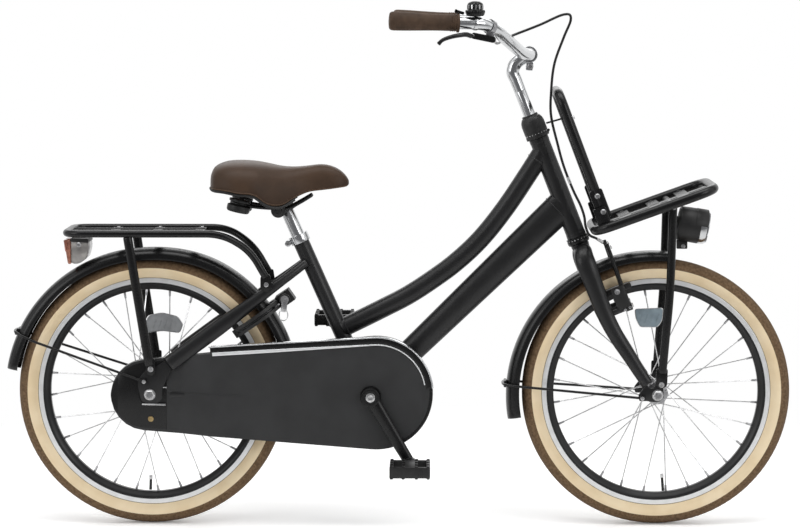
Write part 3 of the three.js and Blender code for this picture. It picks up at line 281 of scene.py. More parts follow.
def bent_line(points, radius, closed=False, steps=8):
    """Straight runs joined by round corners, as a tube bender makes them."""
    p = [np.asarray(q, float) for q in points]
    out = [] if closed else [p[0]]
    for i in range(len(p)) if closed else range(1, len(p) - 1):
        here, back, ahead = p[i], p[i - 1] - p[i], p[(i + 1) % len(p)] - p[i]
        reach = min(radius, np.linalg.norm(back) * 0.48, np.linalg.norm(ahead) * 0.48)
        enter, leave = here + unit(back) * reach, here + unit(ahead) * reach
        for t in np.linspace(0, 1, steps):
            out.append((1 - t) ** 2 * enter + 2 * t * (1 - t) * here + t * t * leave)
    if not closed:
        out.append(p[-1])
    return np.array(out)


# %% Tubes along a line
SOFT_STEP = 0.3


def skin(rings, material, loop=False, capped=True):
    """A surface through rings of equally many points; loop joins the last ring to the first."""
    count = len(rings[0])
    verts = [point for ring in rings for point in ring]
    faces = []
    for s in range(len(rings) if loop else len(rings) - 1):
        shift = count if s < len(rings) - 1 else -s * count
        for i in range(count):
            a, b = s * count + i, s * count + (i + 1) % count
            faces.append((a, b, b + shift, a + shift))
    if capped and not loop:
        faces.append(tuple(range(count)))
        faces.append(tuple(range(len(verts) - count, len(verts))))
    return verts, faces, [material] * len(faces)


def tube(line, size, material, sides=20, upright=False, closed=False, soft=0.6, facing=None):
    """A tube along a line. size is a radius, or a function of the share along the line that
    gives (half height, half width); upright keeps the width level, along Y, and facing is a
    direction that the height follows."""
    line = np.asarray(line, float)
    if not closed:
        first, last = unit(line[1] - line[0]), unit(line[-1] - line[-2])
        line = np.vstack([line[0], line[0] + first * soft * SOFT_STEP, line[0] + first * soft, line[1:-1],
                          line[-1] - last * soft, line[-1] - last * soft * SOFT_STEP, line[-1]])
    count = len(line)
    if closed:
        tangents = np.roll(line, -1, axis=0) - np.roll(line, 1, axis=0)
    else:
        tangents = np.gradient(line, axis=0)
    tangents /= np.linalg.norm(tangents, axis=1)[:, None]
    lengths = np.r_[0, np.cumsum(np.linalg.norm(np.diff(line, axis=0), axis=1))]
    across = np.array([0.0, 1.0, 0.0])
    if abs(tangents[0] @ across) > 0.9:
        across = np.array([1.0, 0.0, 0.0])
    rings = []
    angles = np.arange(sides) / sides * TURN
    for s in range(count):
        if upright:
            across = np.array([0.0, 1.0, 0.0])
        if facing is not None:
            across = np.cross(tangents[s], facing)
        across = unit(across - tangents[s] * (across @ tangents[s]))
        upward = np.cross(across, tangents[s])
        high, wide = size(lengths[s] / lengths[-1]) if callable(size) else (size, size)
        if not closed and s in (0, count - 1):
            high, wide = max(high - soft, 0.2), max(wide - soft, 0.2)
        if not closed and s in (1, count - 2):
            high, wide = max(high - soft * SOFT_STEP, 0.2), max(wide - soft * SOFT_STEP, 0.2)
        rings.append([line[s] + upward * high * math.cos(angle) + across * wide * math.sin(angle)
                      for angle in angles])
    return skin(rings, material, closed)


def rod(a, b, radius, material, sides=20, end_radius=None, soft=0.6):
    """A straight bar, or a cone where the end radius differs."""
    end = radius if end_radius is None else end_radius
    size = lambda t: (radius + (end - radius) * t, radius + (end - radius) * t)
    return tube([a, (np.array(a, float) + np.array(b, float)) / 2, b], size, material, sides, soft=soft)


# %% Turned forms
def turned(outline, origin, direction, material, sides=64, closed=True, ripple=None):
    """Turns [radius, height] points about a line. A third entry is the material from that
    point to the next one; ripple(index, angle) adds to the radius."""
    axis = unit(direction)
    start = np.array([1.0, 0, 0]) if abs(axis[0]) < 0.9 else np.array([0, 1.0, 0])
    side = unit(start - axis * (start @ axis))
    other = np.cross(axis, side)
    count = len(outline)
    verts, faces, wears = [], [], []
    for j in range(sides):
        angle = j / sides * TURN
        ray = side * math.cos(angle) + other * math.sin(angle)
        for k, point in enumerate(outline):
            radius = point[0] + (ripple(k, j) if ripple else 0)
            verts.append(np.asarray(origin, float) + ray * radius + axis * point[1])
    worn = material
    for k in range(count if closed else count - 1):
        if len(outline[k]) > 2:
            worn = outline[k][2]
        for j in range(sides):
            a, b = j * count + k, j * count + (k + 1) % count
            c, d = ((j + 1) % sides) * count + (k + 1) % count, ((j + 1) % sides) * count + k
            faces.append((a, b, c, d))
            wears.append(worn)
    return verts, faces, wears


def rounded(outline, reach, steps=4, closed=True):
    """Takes the corners off a flat outline."""
    p = [np.asarray(q[:2], float) for q in outline]
    out = []
    for i, here in enumerate(p):
        if not closed and i in (0, len(p) - 1):
            out.append(tuple(here))
            continue
        back, ahead = p[i - 1] - here, p[(i + 1) % len(p)] - here
        r = min(reach, np.linalg.norm(back) * 0.45, np.linalg.norm(ahead) * 0.45)
        enter, leave = here + unit(back) * r, here + unit(ahead) * r
        for t in np.linspace(0, 1, steps):
            out.append(tuple((1 - t) ** 2 * enter + 2 * t * (1 - t) * here + t * t * leave))
    return out


def lathe(outline, corner, origin, direction, material, sides=64, closed=True, steps=3):
    """A turned form whose outline has its corners taken off."""
    return turned(rounded(outline, corner, steps, closed), origin, direction, material, sides, closed)


# %% Plates and blocks with soft edges
def inset(outline, amount):
    """Moves a closed outline inwards by an amount."""
    p = np.asarray(outline, float)
    turn = np.sum(p[:, 0] * np.roll(p[:, 1], -1) - np.roll(p[:, 0], -1) * p[:, 1])
    before, after = p - np.roll(p, 1, axis=0), np.roll(p, -1, axis=0) - p
    before /= np.linalg.norm(before, axis=1)[:, None] + 1e-9
    after /= np.linalg.norm(after, axis=1)[:, None] + 1e-9
    middle = before + after
    middle /= np.linalg.norm(middle, axis=1)[:, None] + 1e-9
    inward = np.column_stack([-middle[:, 1], middle[:, 0]]) * (1 if turn > 0 else -1)
    return p + inward * amount


def slab(outline, origin, u, v, w, low, high, material, edge=0.8):
    """A flat outline in the plane of u and v, given thickness along w from low to high."""
    u, v, w = unit(u), unit(v), unit(w)
    rings = []
    for level, shrink in ((low, edge), (low + edge * SOFT_STEP, edge * SOFT_STEP), (low + edge, 0),
                          (high - edge, 0), (high - edge * SOFT_STEP, edge * SOFT_STEP), (high, edge)):
        flat = inset(outline, shrink) if shrink else np.asarray(outline, float)
        rings.append([np.asarray(origin, float) + u * a + v * b + w * level for a, b in flat])
    return skin(rings, material)


def plate(outline, low, high, material, edge=0.8):
    """A plate of [x, z] points between two values of Y."""
    return slab(outline, (0, 0, 0), (1, 0, 0), (0, 0, 1), ACROSS, low, high, material, edge)


def side_plate(outline, side, inner, outer, material, edge=0.8):
    """A plate on the left (side 1) or the right (side -1), given its distances from the middle."""
    low, high = sorted((side * inner, side * outer))
    return plate(outline, low, high, material, edge)


def block(centre, size, material, angle=0.0, edge=0.8, corner=1.5):
    """A block with soft edges, turned about Y by an angle in radians."""
    x, z = size[0] / 2, size[2] / 2
    outline = rounded([(-x, -z), (x, -z), (x, z), (-x, z)], corner)
    u = (math.cos(angle), 0, -math.sin(angle))
    v = (math.sin(angle), 0, math.cos(angle))
    edge = min(edge, size[1] * 0.3, size[0] * 0.2, size[2] * 0.2)
    return slab(outline, centre, u, v, ACROSS, -size[1] / 2, size[1] / 2, material, edge)


# %% [markdown]
# ## From shapes to pieces
# `piece` joins shapes into one mesh, welds the points that coincide, points every face
# outwards, and marks as sharp only edges of more than 35 degrees, so that tubes shade round
# and machined corners stay crisp. It also hangs the piece on its body and hides the solids it stands for.

# %% Pieces
node_body = {n: body for body, nodes in frame["record"]["behaviour"]["bodies"].items() for n in nodes}


def make_mesh(name, shapes, sharp_angle):
    """Joins shapes into one mesh with clean normals."""
    mesh = bpy.data.meshes.new(name)
    verts, faces, wears = [], [], []
    for shape_verts, shape_faces, shape_wears in shapes:
        base = len(verts)
        verts.extend(tuple(float(c) * MM for c in point) for point in shape_verts)
        faces.extend(tuple(base + i for i in face) for face in shape_faces)
        wears.extend(shape_wears)
    mesh.from_pydata(verts, [], faces)
    used = []
    for material in wears:
        if material not in used:
            used.append(material)
            mesh.materials.append(material)
    mesh.polygons.foreach_set("material_index", [used.index(material) for material in wears])
    work = bmesh.new()
    work.from_mesh(mesh)
    bmesh.ops.remove_doubles(work, verts=work.verts, dist=1e-6)
    bmesh.ops.recalc_face_normals(work, faces=work.faces)
    work.to_mesh(mesh)
    work.free()
    mesh.shade_smooth()
    mesh.set_sharp_from_angle(angle=math.radians(sharp_angle))
    return mesh


def piece(name, shapes, stands_for=(), body=None, sharp_angle=35):
    """One object of the bicycle, from shapes in millimetres."""
    item = bpy.data.objects.new(name, make_mesh(name, shapes, sharp_angle))
    scene.collection.objects.link(item)
    stands_for = [stands_for] if isinstance(stands_for, str) else list(stands_for)
    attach(item, body or node_body[stands_for[0]])
    if stands_for:
        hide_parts(*stands_for)
    return item


BREAK_ANGLE = math.radians(38)


def dressed(node, material, edge=0.5):
    """A piece with the solid's own shape, its edges broken as deburring does."""
    item = bpy.data.objects.new(node + "_finished", frame["nodes"][node].data.copy())
    item.data.materials.clear()
    item.data.materials.append(material)
    scene.collection.objects.link(item)
    work = bmesh.new()
    work.from_mesh(item.data)
    bmesh.ops.remove_doubles(work, verts=work.verts, dist=2e-6)
    bmesh.ops.dissolve_limit(work, angle_limit=math.radians(1), verts=work.verts, edges=work.edges)
    work.to_mesh(item.data)
    work.free()
    soft = item.modifiers.new("edges", "BEVEL")
    soft.width = edge * MM
    soft.segments = 2
    soft.limit_method = "ANGLE"
    soft.angle_limit = BREAK_ANGLE
    soft.use_clamp_overlap = True
    item.data.polygons.foreach_set("material_index", [0] * len(item.data.polygons))
    item.data.shade_smooth()
    item.data.set_sharp_from_angle(angle=BREAK_ANGLE)
    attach(item, node_body[node])
    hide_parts(node)
    return item


# %% [markdown]
# ## Fasteners
# Small bright bolts are what tell the eye how large a bicycle is. There are two kinds:
# hexagon heads on a washer, and round heads with a recess.

# %% Bolts
def hex_bolt(origin, direction, radius=5.0, height=4.0, material=zinc):
    head = [(0, 0), (radius, 0), (radius, height * 0.8), (radius * 0.84, height), (0, height)]
    washer = [(0, -0.6), (radius * 1.15, -0.6), (radius * 1.15, 0.4), (0, 0.4)]
    return [turned(head, origin, direction, material, 6, False),
            turned(washer, origin, direction, material, 24, False)]


def socket_bolt(origin, direction, radius=4.0, height=3.0, material=zinc):
    head = rounded([(0, 0), (radius, 0), (radius, height), (radius * 0.5, height)], 0.8, 3, False)
    socket = [(radius * 0.46, height), (radius * 0.4, height * 0.35), (0, height * 0.35)]
    return [turned(head + socket, origin, direction, material, 24, False)]


# %% [markdown]
# ## Wheels
# A tyre is a turned form with a tread cut into it. The profile is turned in 360 steps and
# the tread is lowered at every third step, with the grooves of the two shoulders out of step.
# The walls are cream, the tread brown, with a thin dark line where the wall meets the rim.

# %% Tyres and rims
AXLES = {"front": (482, 0, 250), "rear": (-460, 0, 250)}
TYRE_STEPS = 360
TREAD_DEPTH = 1.3
TREAD_FROM, CROWN_HALF, SHOULDER_FROM = 240.5, 4.5, 10
TYRE_HALF = [
    (206.5, 10.9, wall_cream), (212.6, 11.2, wall_line), (213.8, 12.4, wall_cream), (217.5, 16.2),
    (222, 19.9), (227, 22.5), (232.3, 23.45, tread_brown), (235, 23.2), (238, 22.0), (241, 20.2),
    (244, 17.2), (246.6, 13.0), (246.6, 12.0), (248.6, 8.6), (249.6, 5.0), (249.6, 4.2),
    (250, 2.0), (250, 0),
]


def tyre_outline():
    back = []
    for i in range(len(TYRE_HALF) - 2, -1, -1):
        radius, y = TYRE_HALF[i][:2]
        wears = [point[2] for point in TYRE_HALF[:max(i, 1)] if len(point) > 2]
        back.append((radius, -y, wears[-1]))
    inner = [(206.5, -6, wall_line), (220, -14), (231, -17), (240, -10), (244.5, 0), (240, 10),
             (231, 17), (220, 14), (206.5, 6)]
    return TYRE_HALF + back + inner


TYRE = tyre_outline()


def tread(k, j):
    """How much lower the tread is at a point of the outline and a step round the wheel."""
    radius, y = TYRE[k][:2]
    if radius < TREAD_FROM or abs(y) < CROWN_HALF or k >= 2 * len(TYRE_HALF) - 1:
        return 0
    phase = j if y > 0 else j + 1
    if abs(y) < SHOULDER_FROM:
        phase += 2
    return -TREAD_DEPTH if phase % 3 == 0 else 0


RIM_BED, PAINT_EDGE = 191, 204.4
RIM = rounded([(RIM_BED, -6), (200, -13.4), (PAINT_EDGE, -13.4), (213, -13.4), (213, -11.3), (203, -11.3),
               (203, 11.3), (213, 11.3), (213, 13.4), (PAINT_EDGE, 13.4), (200, 13.4), (RIM_BED, 6)], 1.2, 3)
RIM = [(r, y, satin_black if r < PAINT_EDGE + 0.1 * (y > 0) and abs(y) > 11.4 or r < 201 else rim_metal)
       for r, y in RIM]
for end, axle in AXLES.items():
    piece(end + "_tyre_rubber", [turned(TYRE, axle, ACROSS, wall_cream, TYRE_STEPS, True, tread)],
          end + "_tyre", sharp_angle=28)
    piece(end + "_rim_ring", [turned(RIM, axle, ACROSS, rim_metal, 180)], end + "_rim")

# %% [markdown]
# A laced wheel has 28 spokes, each 2.2 mm thick, leaving the flange at a slant and crossing
# its neighbours. Each ends in a nipple at the rim. The tube valve and a spoke reflector turn
# with the wheel as well.

# %% Hubs and spokes
SPOKES = 28
SPOKE_SWEEP = math.radians(62)
SPOKE_END = 190.7
NIPPLE = 11.0
SPOKE_RADIUS, SPOKE_SIDES = 1.1, 8
HUBS = {
    "front": (18.5, 30, math.pi / SPOKES,
              [(6.6, -38), (11, -38), (12, -34), (21, -33), (21, -27), (13, -25), (12, 0), (13, 25),
               (21, 27), (21, 33), (12, 34), (11, 38), (6.6, 38)]),
    "rear": (30, 29, math.radians(35) + math.pi / SPOKES,
             [(6.6, -36), (21, -36), (22, -32), (33, -32), (33, -26), (26, -24), (24, 0), (26, 24),
              (33, 26), (33, 32), (25, 33), (22, 44), (6.6, 44)]),
}


def wheel_point(axle, radius, angle, y):
    """A point at an angle round an axle, y to the side."""
    return np.array([axle[0] + radius * math.cos(angle), y, axle[2] + radius * math.sin(angle)])


def laced(end):
    """A hub with its spokes, heads and nipples."""
    flange, flange_y, phase, outline = HUBS[end]
    axle = AXLES[end]
    shapes = [lathe(outline, 1.5, axle, ACROSS, dull_steel, 48)]
    for i in range(SPOKES):
        side = -1 if i % 2 == 0 else 1
        leads = 1 if i % 4 < 2 else -1
        rim_angle = phase + i / SPOKES * TURN
        root = wheel_point(axle, flange, rim_angle + leads * SPOKE_SWEEP,
                           side * (flange_y + leads * 1.6))
        tip = wheel_point(axle, SPOKE_END, rim_angle, side * (3 + leads * 0.4))
        shapes.append(rod(root, tip, SPOKE_RADIUS, zinc, SPOKE_SIDES, soft=0.3))
        slant = unit(tip - root)
        shapes.append(rod(tip - slant * NIPPLE, tip, 1.9, dull_steel, 8, 2.3, 0.4))
        head = root + (0, side * leads * 1.2, 0)
        shapes.append(rod(head, head + (0, side * leads * 1.0, 0), 2.0, zinc, 8, soft=0.4))
    return shapes


for end in AXLES:
    piece(end + "_hub_and_laced_spokes", laced(end), end + "_hub_and_spokes")


# %% Valves and spoke reflectors
def valve(end, x, top, low):
    """A tube valve below the axle, from one radius in to another."""
    axle = AXLES[end]
    aim = unit((x * 0.005, 0, -1))
    foot = np.array([axle[0] + x, 0, axle[2] - RIM_BED]) - aim * 2
    tip = foot - aim * (top - low)
    shapes = [rod(foot, tip, 2.7, cable_cover, 16, 2.4), rod(tip + aim * 5, tip - aim * 3, 3.1, zinc, 14)]
    piece(end + "_valve", shapes, (), end + "_wheel")


valve("front", 16, 190, 160)
valve("rear", -6, 191, 166)


def spoke_reflector(end, outline, y, reflector):
    """A flat tablet clipped between two spokes, with a frame round it."""
    shapes = [plate(rounded(outline, 5), y - 2.4, y + 2.4, reflector, 1.2)]
    rim_line = [(x, y, z) for x, z in rounded(outline, 5)]
    shapes.append(tube(rim_line, 1.1, zinc, 8, closed=True))
    centre = np.mean(np.array(outline, float), axis=0)
    for share in (-0.6, -0.2, 0.2, 0.6):
        low, high = centre + (share * 26 - 3, -9), centre + (share * 26 + 3, 9)
        line = [(x, y - 2.6, z) for x, z in (low, (low + high) / 2, high)]
        shapes.append(tube(line, 0.6, reflector, 6, soft=0.2))
    piece(end + "_spoke_reflector", shapes, (), end + "_wheel")


spoke_reflector("front", [(442, 405), (494, 407), (492, 384), (484, 372), (452, 372), (444, 388)], -9,
                blue_reflector)
spoke_reflector("rear", [(-476, 372), (-470, 360), (-440, 364), (-408, 360), (-402, 376), (-412, 390),
                         (-440, 397), (-466, 392)], -9, grey_reflector)

# %% [markdown]
# Each axle is a threaded rod with a hexagon nut outside the dropout. A thread can be shown
# by a turned outline that goes up and down in small teeth.

# %% Axles
THREAD_PITCH = 1.4
DROPOUT_SHEET, NUT_GAP = 4.5, 0.3


def thread(start, stop, radius):
    teeth = []
    for i in range(int((stop - start) / THREAD_PITCH)):
        at = start + THREAD_PITCH * i
        teeth += [(radius, at), (radius - 0.5, at + THREAD_PITCH / 2)]
    return teeth


def axle_shapes(axle, dropout, cones):
    shapes = []
    for side in (-1, 1):
        face = dropout + DROPOUT_SHEET + NUT_GAP
        out = (0, side, 0)
        shapes.append(turned([(0, 0), (4.6, 0)] + thread(1, face + 10, 5) + [(4.2, face + 12),
                             (0, face + 12)], axle, out, dull_steel, 20, False))
        cone = cones[0] if side < 0 else cones[1]
        shapes.append(lathe([(5, cone), (9, cone), (9, dropout - 0.3), (5, dropout - 0.3)], 0.8, axle, out,
                            dull_steel, 24))
        nut = [(5.2, face), (9.5, face), (9.5, face + 7), (8.2, face + 8), (5.2, face + 8)]
        shapes.append(turned(nut, axle, out, zinc, 6))
        shapes.append(turned([(5.2, face), (10.6, face), (10.6, face + 1), (5.2, face + 1)], axle, out,
                             zinc, 28))
    return shapes


piece("front_axle_set", axle_shapes(AXLES["front"], 53, (38.6, 38.6)), "front_axle")
piece("rear_axle_set", axle_shapes(AXLES["rear"], 55, (50, 44.6)), "rear_axle")

# %% [markdown]
# ## The frame
# The low swan-neck top tube and the deep down tube give this bicycle its line. They are
# drawn along the same lines as the solids, with enough sides to look round in outline.

# %% Head, bracket and seat tube
HEAD_LOW = mid(333.3, 540.0)
HEAD_TOP = mid(260.9, 723.8)
STEER_UP = unit(HEAD_TOP - HEAD_LOW)
STEER_FORWARD = mid(STEER_UP[2], -STEER_UP[0])
HEAD_LENGTH = 197.5
HEAD_TILT = 0.375


def head_at(distance, y=0.0):
    return HEAD_LOW + STEER_UP * distance + (0, y, 0)


shell = [(14.5, 0), (18.4, 0), (18.4, 7), (18, 8), (18, 189), (18.4, 190), (18.4, HEAD_LENGTH),
         (14.5, HEAD_LENGTH)]
piece("head_tube_shell", [lathe(shell, 0.7, HEAD_LOW, STEER_UP, satin_black)], "head_tube")
lower_cup = [(13.6, -13), (19.6, -13), (21, -10), (21, -5.2), (19.8, -4.8), (19.8, -3), (21, -2.6),
             (21, -0.3), (13.6, -0.3)]
upper_cup = [(13.6, HEAD_LENGTH + 0.3), (19.5, HEAD_LENGTH + 0.3), (19.5, 206.5), (13.6, 206.5)]


def dots(radius, height, count):
    """A ring of small bright balls that shows between two shells of a bearing."""
    shapes = []
    for i in range(count):
        angle = i / count * TURN
        ray = STEER_FORWARD * math.cos(angle) + (0, math.sin(angle), 0)
        centre = head_at(height) + ray * radius
        shapes.append(rod(centre - ray, centre + ray * 0.6, 1.1, zinc, 8, soft=0.4))
    return shapes


piece("headset_lower_ring", [lathe(lower_cup, 0.5, HEAD_LOW, STEER_UP, gloss_black)]
      + dots(20.1, -3.9, 20), "headset_lower_cup")
piece("headset_upper_ring", [lathe(upper_cup, 0.8, HEAD_LOW, STEER_UP, gloss_black)], "headset_upper_cup")
BRACKET = mid(-50, 248.0)
shell = [(15, -34), (21, -34), (21, 34), (15, 34)]
piece("bottom_bracket_tube", [lathe(shell, 1, BRACKET, ACROSS, satin_black, steps=4)],
      "bottom_bracket_shell")
SEAT_LOW = mid(-57, 250.0)
SEAT_UP = unit(mid(-186.2, 541.8) - SEAT_LOW)
SEAT_LENGTH = 319.1


def seat_at(distance):
    return SEAT_LOW + SEAT_UP * distance


shell = [(13.4, 18), (15, 18), (15, SEAT_LENGTH), (13.4, SEAT_LENGTH)]
piece("seat_tube_shell", [lathe(shell, 0.5, SEAT_LOW, SEAT_UP, satin_black)], "seat_tube")

# %% Top tube and down tube
TOP_TUBE = 18
TOP_LINE = [(-104, 0, 368), (-72, 0, 383.5), (-27, 0, 406), (18, 0, 429.4), (63, 0, 458.5),
            (108, 0, 492), (153, 0, 534.4), (198, 0, 590.7), (243, 0, 658.2), (268, 0, 698)]
piece("top_tube_swept", [tube(smooth_line(TOP_LINE, 90), TOP_TUBE, satin_black, 32)], "top_tube")
DOWN_LINE = [(-46, 0, 256.6), (311, 0, 603.2)]
piece("down_tube_oval", [tube(even(DOWN_LINE, 24), lambda t: (22 + 7.7 * t, 18.5 - 0.8 * t), satin_black,
                              36, upright=True)], "down_tube")

# %% [markdown]
# Welds leave a small bead round the joint. A ring of paint-covered ripples where two tubes
# meet is enough, and it hides the sharp line between two meshes.

# %% Weld beads
WELD_STEPS, WELD_BEAD, WELD_RIPPLE = 72, 1.3, 0.25


def weld(centre, direction, high, wide):
    """A beaded ring round a tube, across its direction."""
    axis = unit(direction)
    across = np.array([0, 1.0, 0])
    upward = np.cross(across, axis)
    ring = []
    for i in range(WELD_STEPS):
        angle = i / WELD_STEPS * TURN
        swell = WELD_RIPPLE * math.cos(i * math.pi / 1.5)
        ring.append(np.asarray(centre, float) + upward * (high + swell) * math.cos(angle)
                    + across * (wide + swell) * math.sin(angle))
    return tube(ring, WELD_BEAD, satin_black, 8, closed=True)


down_direction = mid(357, 346.6)
welds = [weld(mid(297, 589.6), down_direction, 29.3, 17.8),
         weld(mid(-27, 275), down_direction, 22.9, 18.4),
         weld(mid(258.5, 682.5), (25, 0, 40), TOP_TUBE, TOP_TUBE),
         weld(mid(-96, 372), (32, 0, 15.5), TOP_TUBE, TOP_TUBE)]
piece("frame_welds", welds, (), "frame")

# %% [markdown]
# The stays are slim and oval, and they bow out round the wheel to flat plates that hold the
# axle. The plates are cut from 4.5 mm sheet.

# %% Stays and dropouts
def mirrored(points, side):
    return [(x, side * y, z) for x, y, z in points]


STAY_END = mid(-424, 307.0)
STAY_DIRECTION = mid(0.8077, 0.5897)
tab_end = STAY_END - STAY_DIRECTION * 0.8
stay_across = mid(-0.5897, 0.8077)
tab_upper, tab_lower = tab_end + stay_across * 9, tab_end - stay_across * 9
DROPOUT = [(-437, 243), (-436, 262), (tab_lower[0], tab_lower[2]), (tab_upper[0], tab_upper[2]),
           (-450, 301), (-466, 297), (-480, 280), (-482, 266), (-476, 238), (-462, 232), (-445, 234)]
CHAIN_STAY = [(-62, 21, 248), (-125, 28.5, 248), (-165, 35, 248), (-200, 40.5, 249)]
CHAIN_STAY_ENDS = {-1: [(-300, 45, 249.5), (-424, 50.5, 250)], 1: [(-300, 47.5, 249.5), (-424, 57, 250)]}
SEAT_STAY = [(-172, 14, 492), (-196, 27, 474), (-228, 40, 450.5), (-262, 44.5, 425.5),
             (-340, 52, 368.5), (-424, 57.5, 307)]


def eased(t, low, high):
    t = min(max((t - low) / (high - low), 0), 1)
    return t * t * (3 - 2 * t)


for side, hand in SIDES:
    line = smooth_line(mirrored(CHAIN_STAY + CHAIN_STAY_ENDS[side], side), 50)
    shapes = [tube(line, lambda t: (10 - 1.5 * t, 8.5 - 2.7 * t), satin_black, 20, upright=True),
              side_plate(rounded(DROPOUT, 3), side, 55, 55 + DROPOUT_SHEET, satin_black, 0.6)]
    if side > 0:
        shapes.append(block((-140, 37.2, 230), (34, 20, 28), satin_black, 0, 1, 3))
    piece("chainstay_" + hand + "_tube", shapes, "chainstay_" + hand)
    line = smooth_line(mirrored(SEAT_STAY, side), 50)
    stay_size = lambda t: (8.8 + 6.1 * eased(t, 0.15, 0.7), 7.5)
    piece("seatstay_" + hand + "_tube", [tube(line, stay_size, satin_black, 20, upright=True)],
          "seatstay_" + hand)

# %% [markdown]
# ## Seat post and saddle
# A bright collar squeezes the seat tube round the post. On the post sits a black clamp
# that grips two rails, and two rubber blocks carry the saddle's wide rear end.

# %% Collar, post and saddle frame
POST = 12.5
collar_lug = seat_at(SEAT_LENGTH - 6) + mid(-SEAT_UP[2], SEAT_UP[0]) * 23
clasp = [(15.3, SEAT_LENGTH - 14), (18.5, SEAT_LENGTH - 14), (18.5, SEAT_LENGTH + 2),
         (12.9, SEAT_LENGTH + 2), (12.9, SEAT_LENGTH + 0.6), (15.3, SEAT_LENGTH + 0.6)]
collar = [lathe(clasp, 0.7, SEAT_LOW, SEAT_UP, chrome),
          rod(collar_lug + (0, -10, 0), collar_lug + (0, 10, 0), 6, chrome, 24)]
collar += socket_bolt(collar_lug + (0, -9.6, 0), (0, -1, 0), 4.6, 3.2)
piece("seat_collar", collar, "seat_clamp")
post_top = seat_at(SEAT_LENGTH + 56)
piece("seat_post_tube", [rod(seat_at(SEAT_LENGTH - 126), post_top, POST, chrome, 40, soft=1.0)], "seatpost")
CLAMP = mid(-222, 590.0)
SPRING_OUT = 36
saddle_parts = [
    rod(post_top - SEAT_UP * 6, post_top + SEAT_UP * 4, 17, black_plastic, 32, soft=1.2),
    lathe([(0, -27), (13.5, -27), (13.5, -17), (12, -16), (12, 16), (13.5, 17), (13.5, 27), (0, 27)], 0.8,
          CLAMP, ACROSS, black_plastic, 40, False),
    rod((-294, -50, 599), (-294, 50, 599), 6, black_plastic, 16)]
for side in (-1, 1):
    saddle_parts += hex_bolt(CLAMP + (0, side * 27, 0), (0, side, 0), 6.2, 4, black_plastic)
for side in (-1, 1):
    rail = [(-300, SPRING_OUT, 603), (-262, 30, 597), (-232, 20, 594), (-205, 20, 594), (-180, 18, 606),
            (-160, 12, 618)]
    saddle_parts.append(tube(smooth_line(mirrored(rail, side), 40), 3.5, gloss_black, 14))
    y = side * SPRING_OUT
    low, high = np.array([-296, y, 591.0]), np.array([-291, y, 613.0])
    aim = unit(high - low)
    reach = np.linalg.norm(high - low)
    rubber = rounded([(0, -3), (19, -3), (21.5, 0), (21.5, reach / 2 - 2), (14, reach / 2 + 1),
                      (14, reach / 2 + 3), (20, reach / 2 + 5), (20, reach - 2), (0, reach)], 1, 3, False)
    saddle_parts.append(turned(rubber, low, aim, black_plastic, 32, False))
piece("saddle_rails_and_clamp", saddle_parts, "saddle_frame")

# %% [markdown]
# The saddle is the one soft piece. It is a moulded foam pad under a leather cover, wide and
# flat behind, dropping to a narrow nose. Its cross section is lofted through thirteen
# stations, smoothed by subdivision, and it has a welt along the lower edge where the
# cover is drawn round the base. A cloth simulation would only blur a form that is this firm.

# %% Saddle
SADDLE = [(-347.5, 656, 635, 34), (-339, 672, 630, 62), (-318, 681, 628, 78), (-292, 683, 623, 84),
          (-265, 681.5, 620, 81), (-240, 677.5, 602, 71), (-216, 672.5, 599, 56), (-190, 671, 613, 41),
          (-165, 673, 624, 31), (-140, 675.5, 627, 27), (-117, 670, 630, 24), (-100, 658, 633, 18),
          (-91, 645, 636, 8)]
SADDLE_SECTION = [(-1, 0.04), (-1.0, 0.22), (-0.96, 0.45), (-0.86, 0.68), (-0.7, 0.84), (-0.48, 0.94),
                  (-0.24, 0.985), (0, 0.995), (0.24, 0.985), (0.48, 0.94), (0.7, 0.84), (0.86, 0.68),
                  (0.96, 0.45), (1.0, 0.22), (1, 0.04), (0.93, 0.0), (0.6, 0.14), (0.3, 0.2),
                  (0, 0.2), (-0.3, 0.2), (-0.6, 0.14), (-0.93, 0.0)]


def saddle_shape(stations):
    """The section drawn through stations of X, top, skirt and half width."""
    rings = [[(x, across * half, skirt + up * (top - skirt)) for across, up in SADDLE_SECTION]
             for x, top, skirt, half in stations]
    return skin(rings, saddle_leather)


stations = smooth_line(SADDLE, 34)
saddle = piece("saddle_pad", [saddle_shape(stations)], "saddle", sharp_angle=80)
smoother = saddle.modifiers.new("smooth", "SUBSURF")
smoother.levels = smoother.render_levels = 2
welt_side = [(x, half * 0.985, skirt + 0.06 * (top - skirt)) for x, top, skirt, half in stations[1:-1]]
welt_line = welt_side + [(x, -y, z) for x, y, z in reversed(welt_side)]
base_side = [(x, half * 0.93, skirt - 0.8) for x, top, skirt, half in stations[1:22]]
base_line = [(x, -y, z) for x, y, z in reversed(base_side)] + base_side
piece("saddle_welt", [tube(welt_line, 1.2, saddle_leather, 8, closed=True)], (), "saddle_post")
piece("saddle_base_edge", [tube(base_line, 3.2, black_plastic, 10)], (), "saddle_post")
print("saddle of", len(saddle.data.vertices), "points before smoothing")

# %% [markdown]
# ## Mudguards
# A mudguard is rolled from thin sheet: a round crown with the edges turned in. It is lofted
# round the wheel from one section, and the section narrows in the last degree or two so that
# the ends are round, as they are cut on the real ones.

# %% Mudguards
GUARD_HALF = 30.0
GUARD_TOP = 272.0
GUARD_SHEET = 1.8
CROWN_POWER, SPREAD_POWER, SECTION_STEPS = 2.5, 0.8, 24


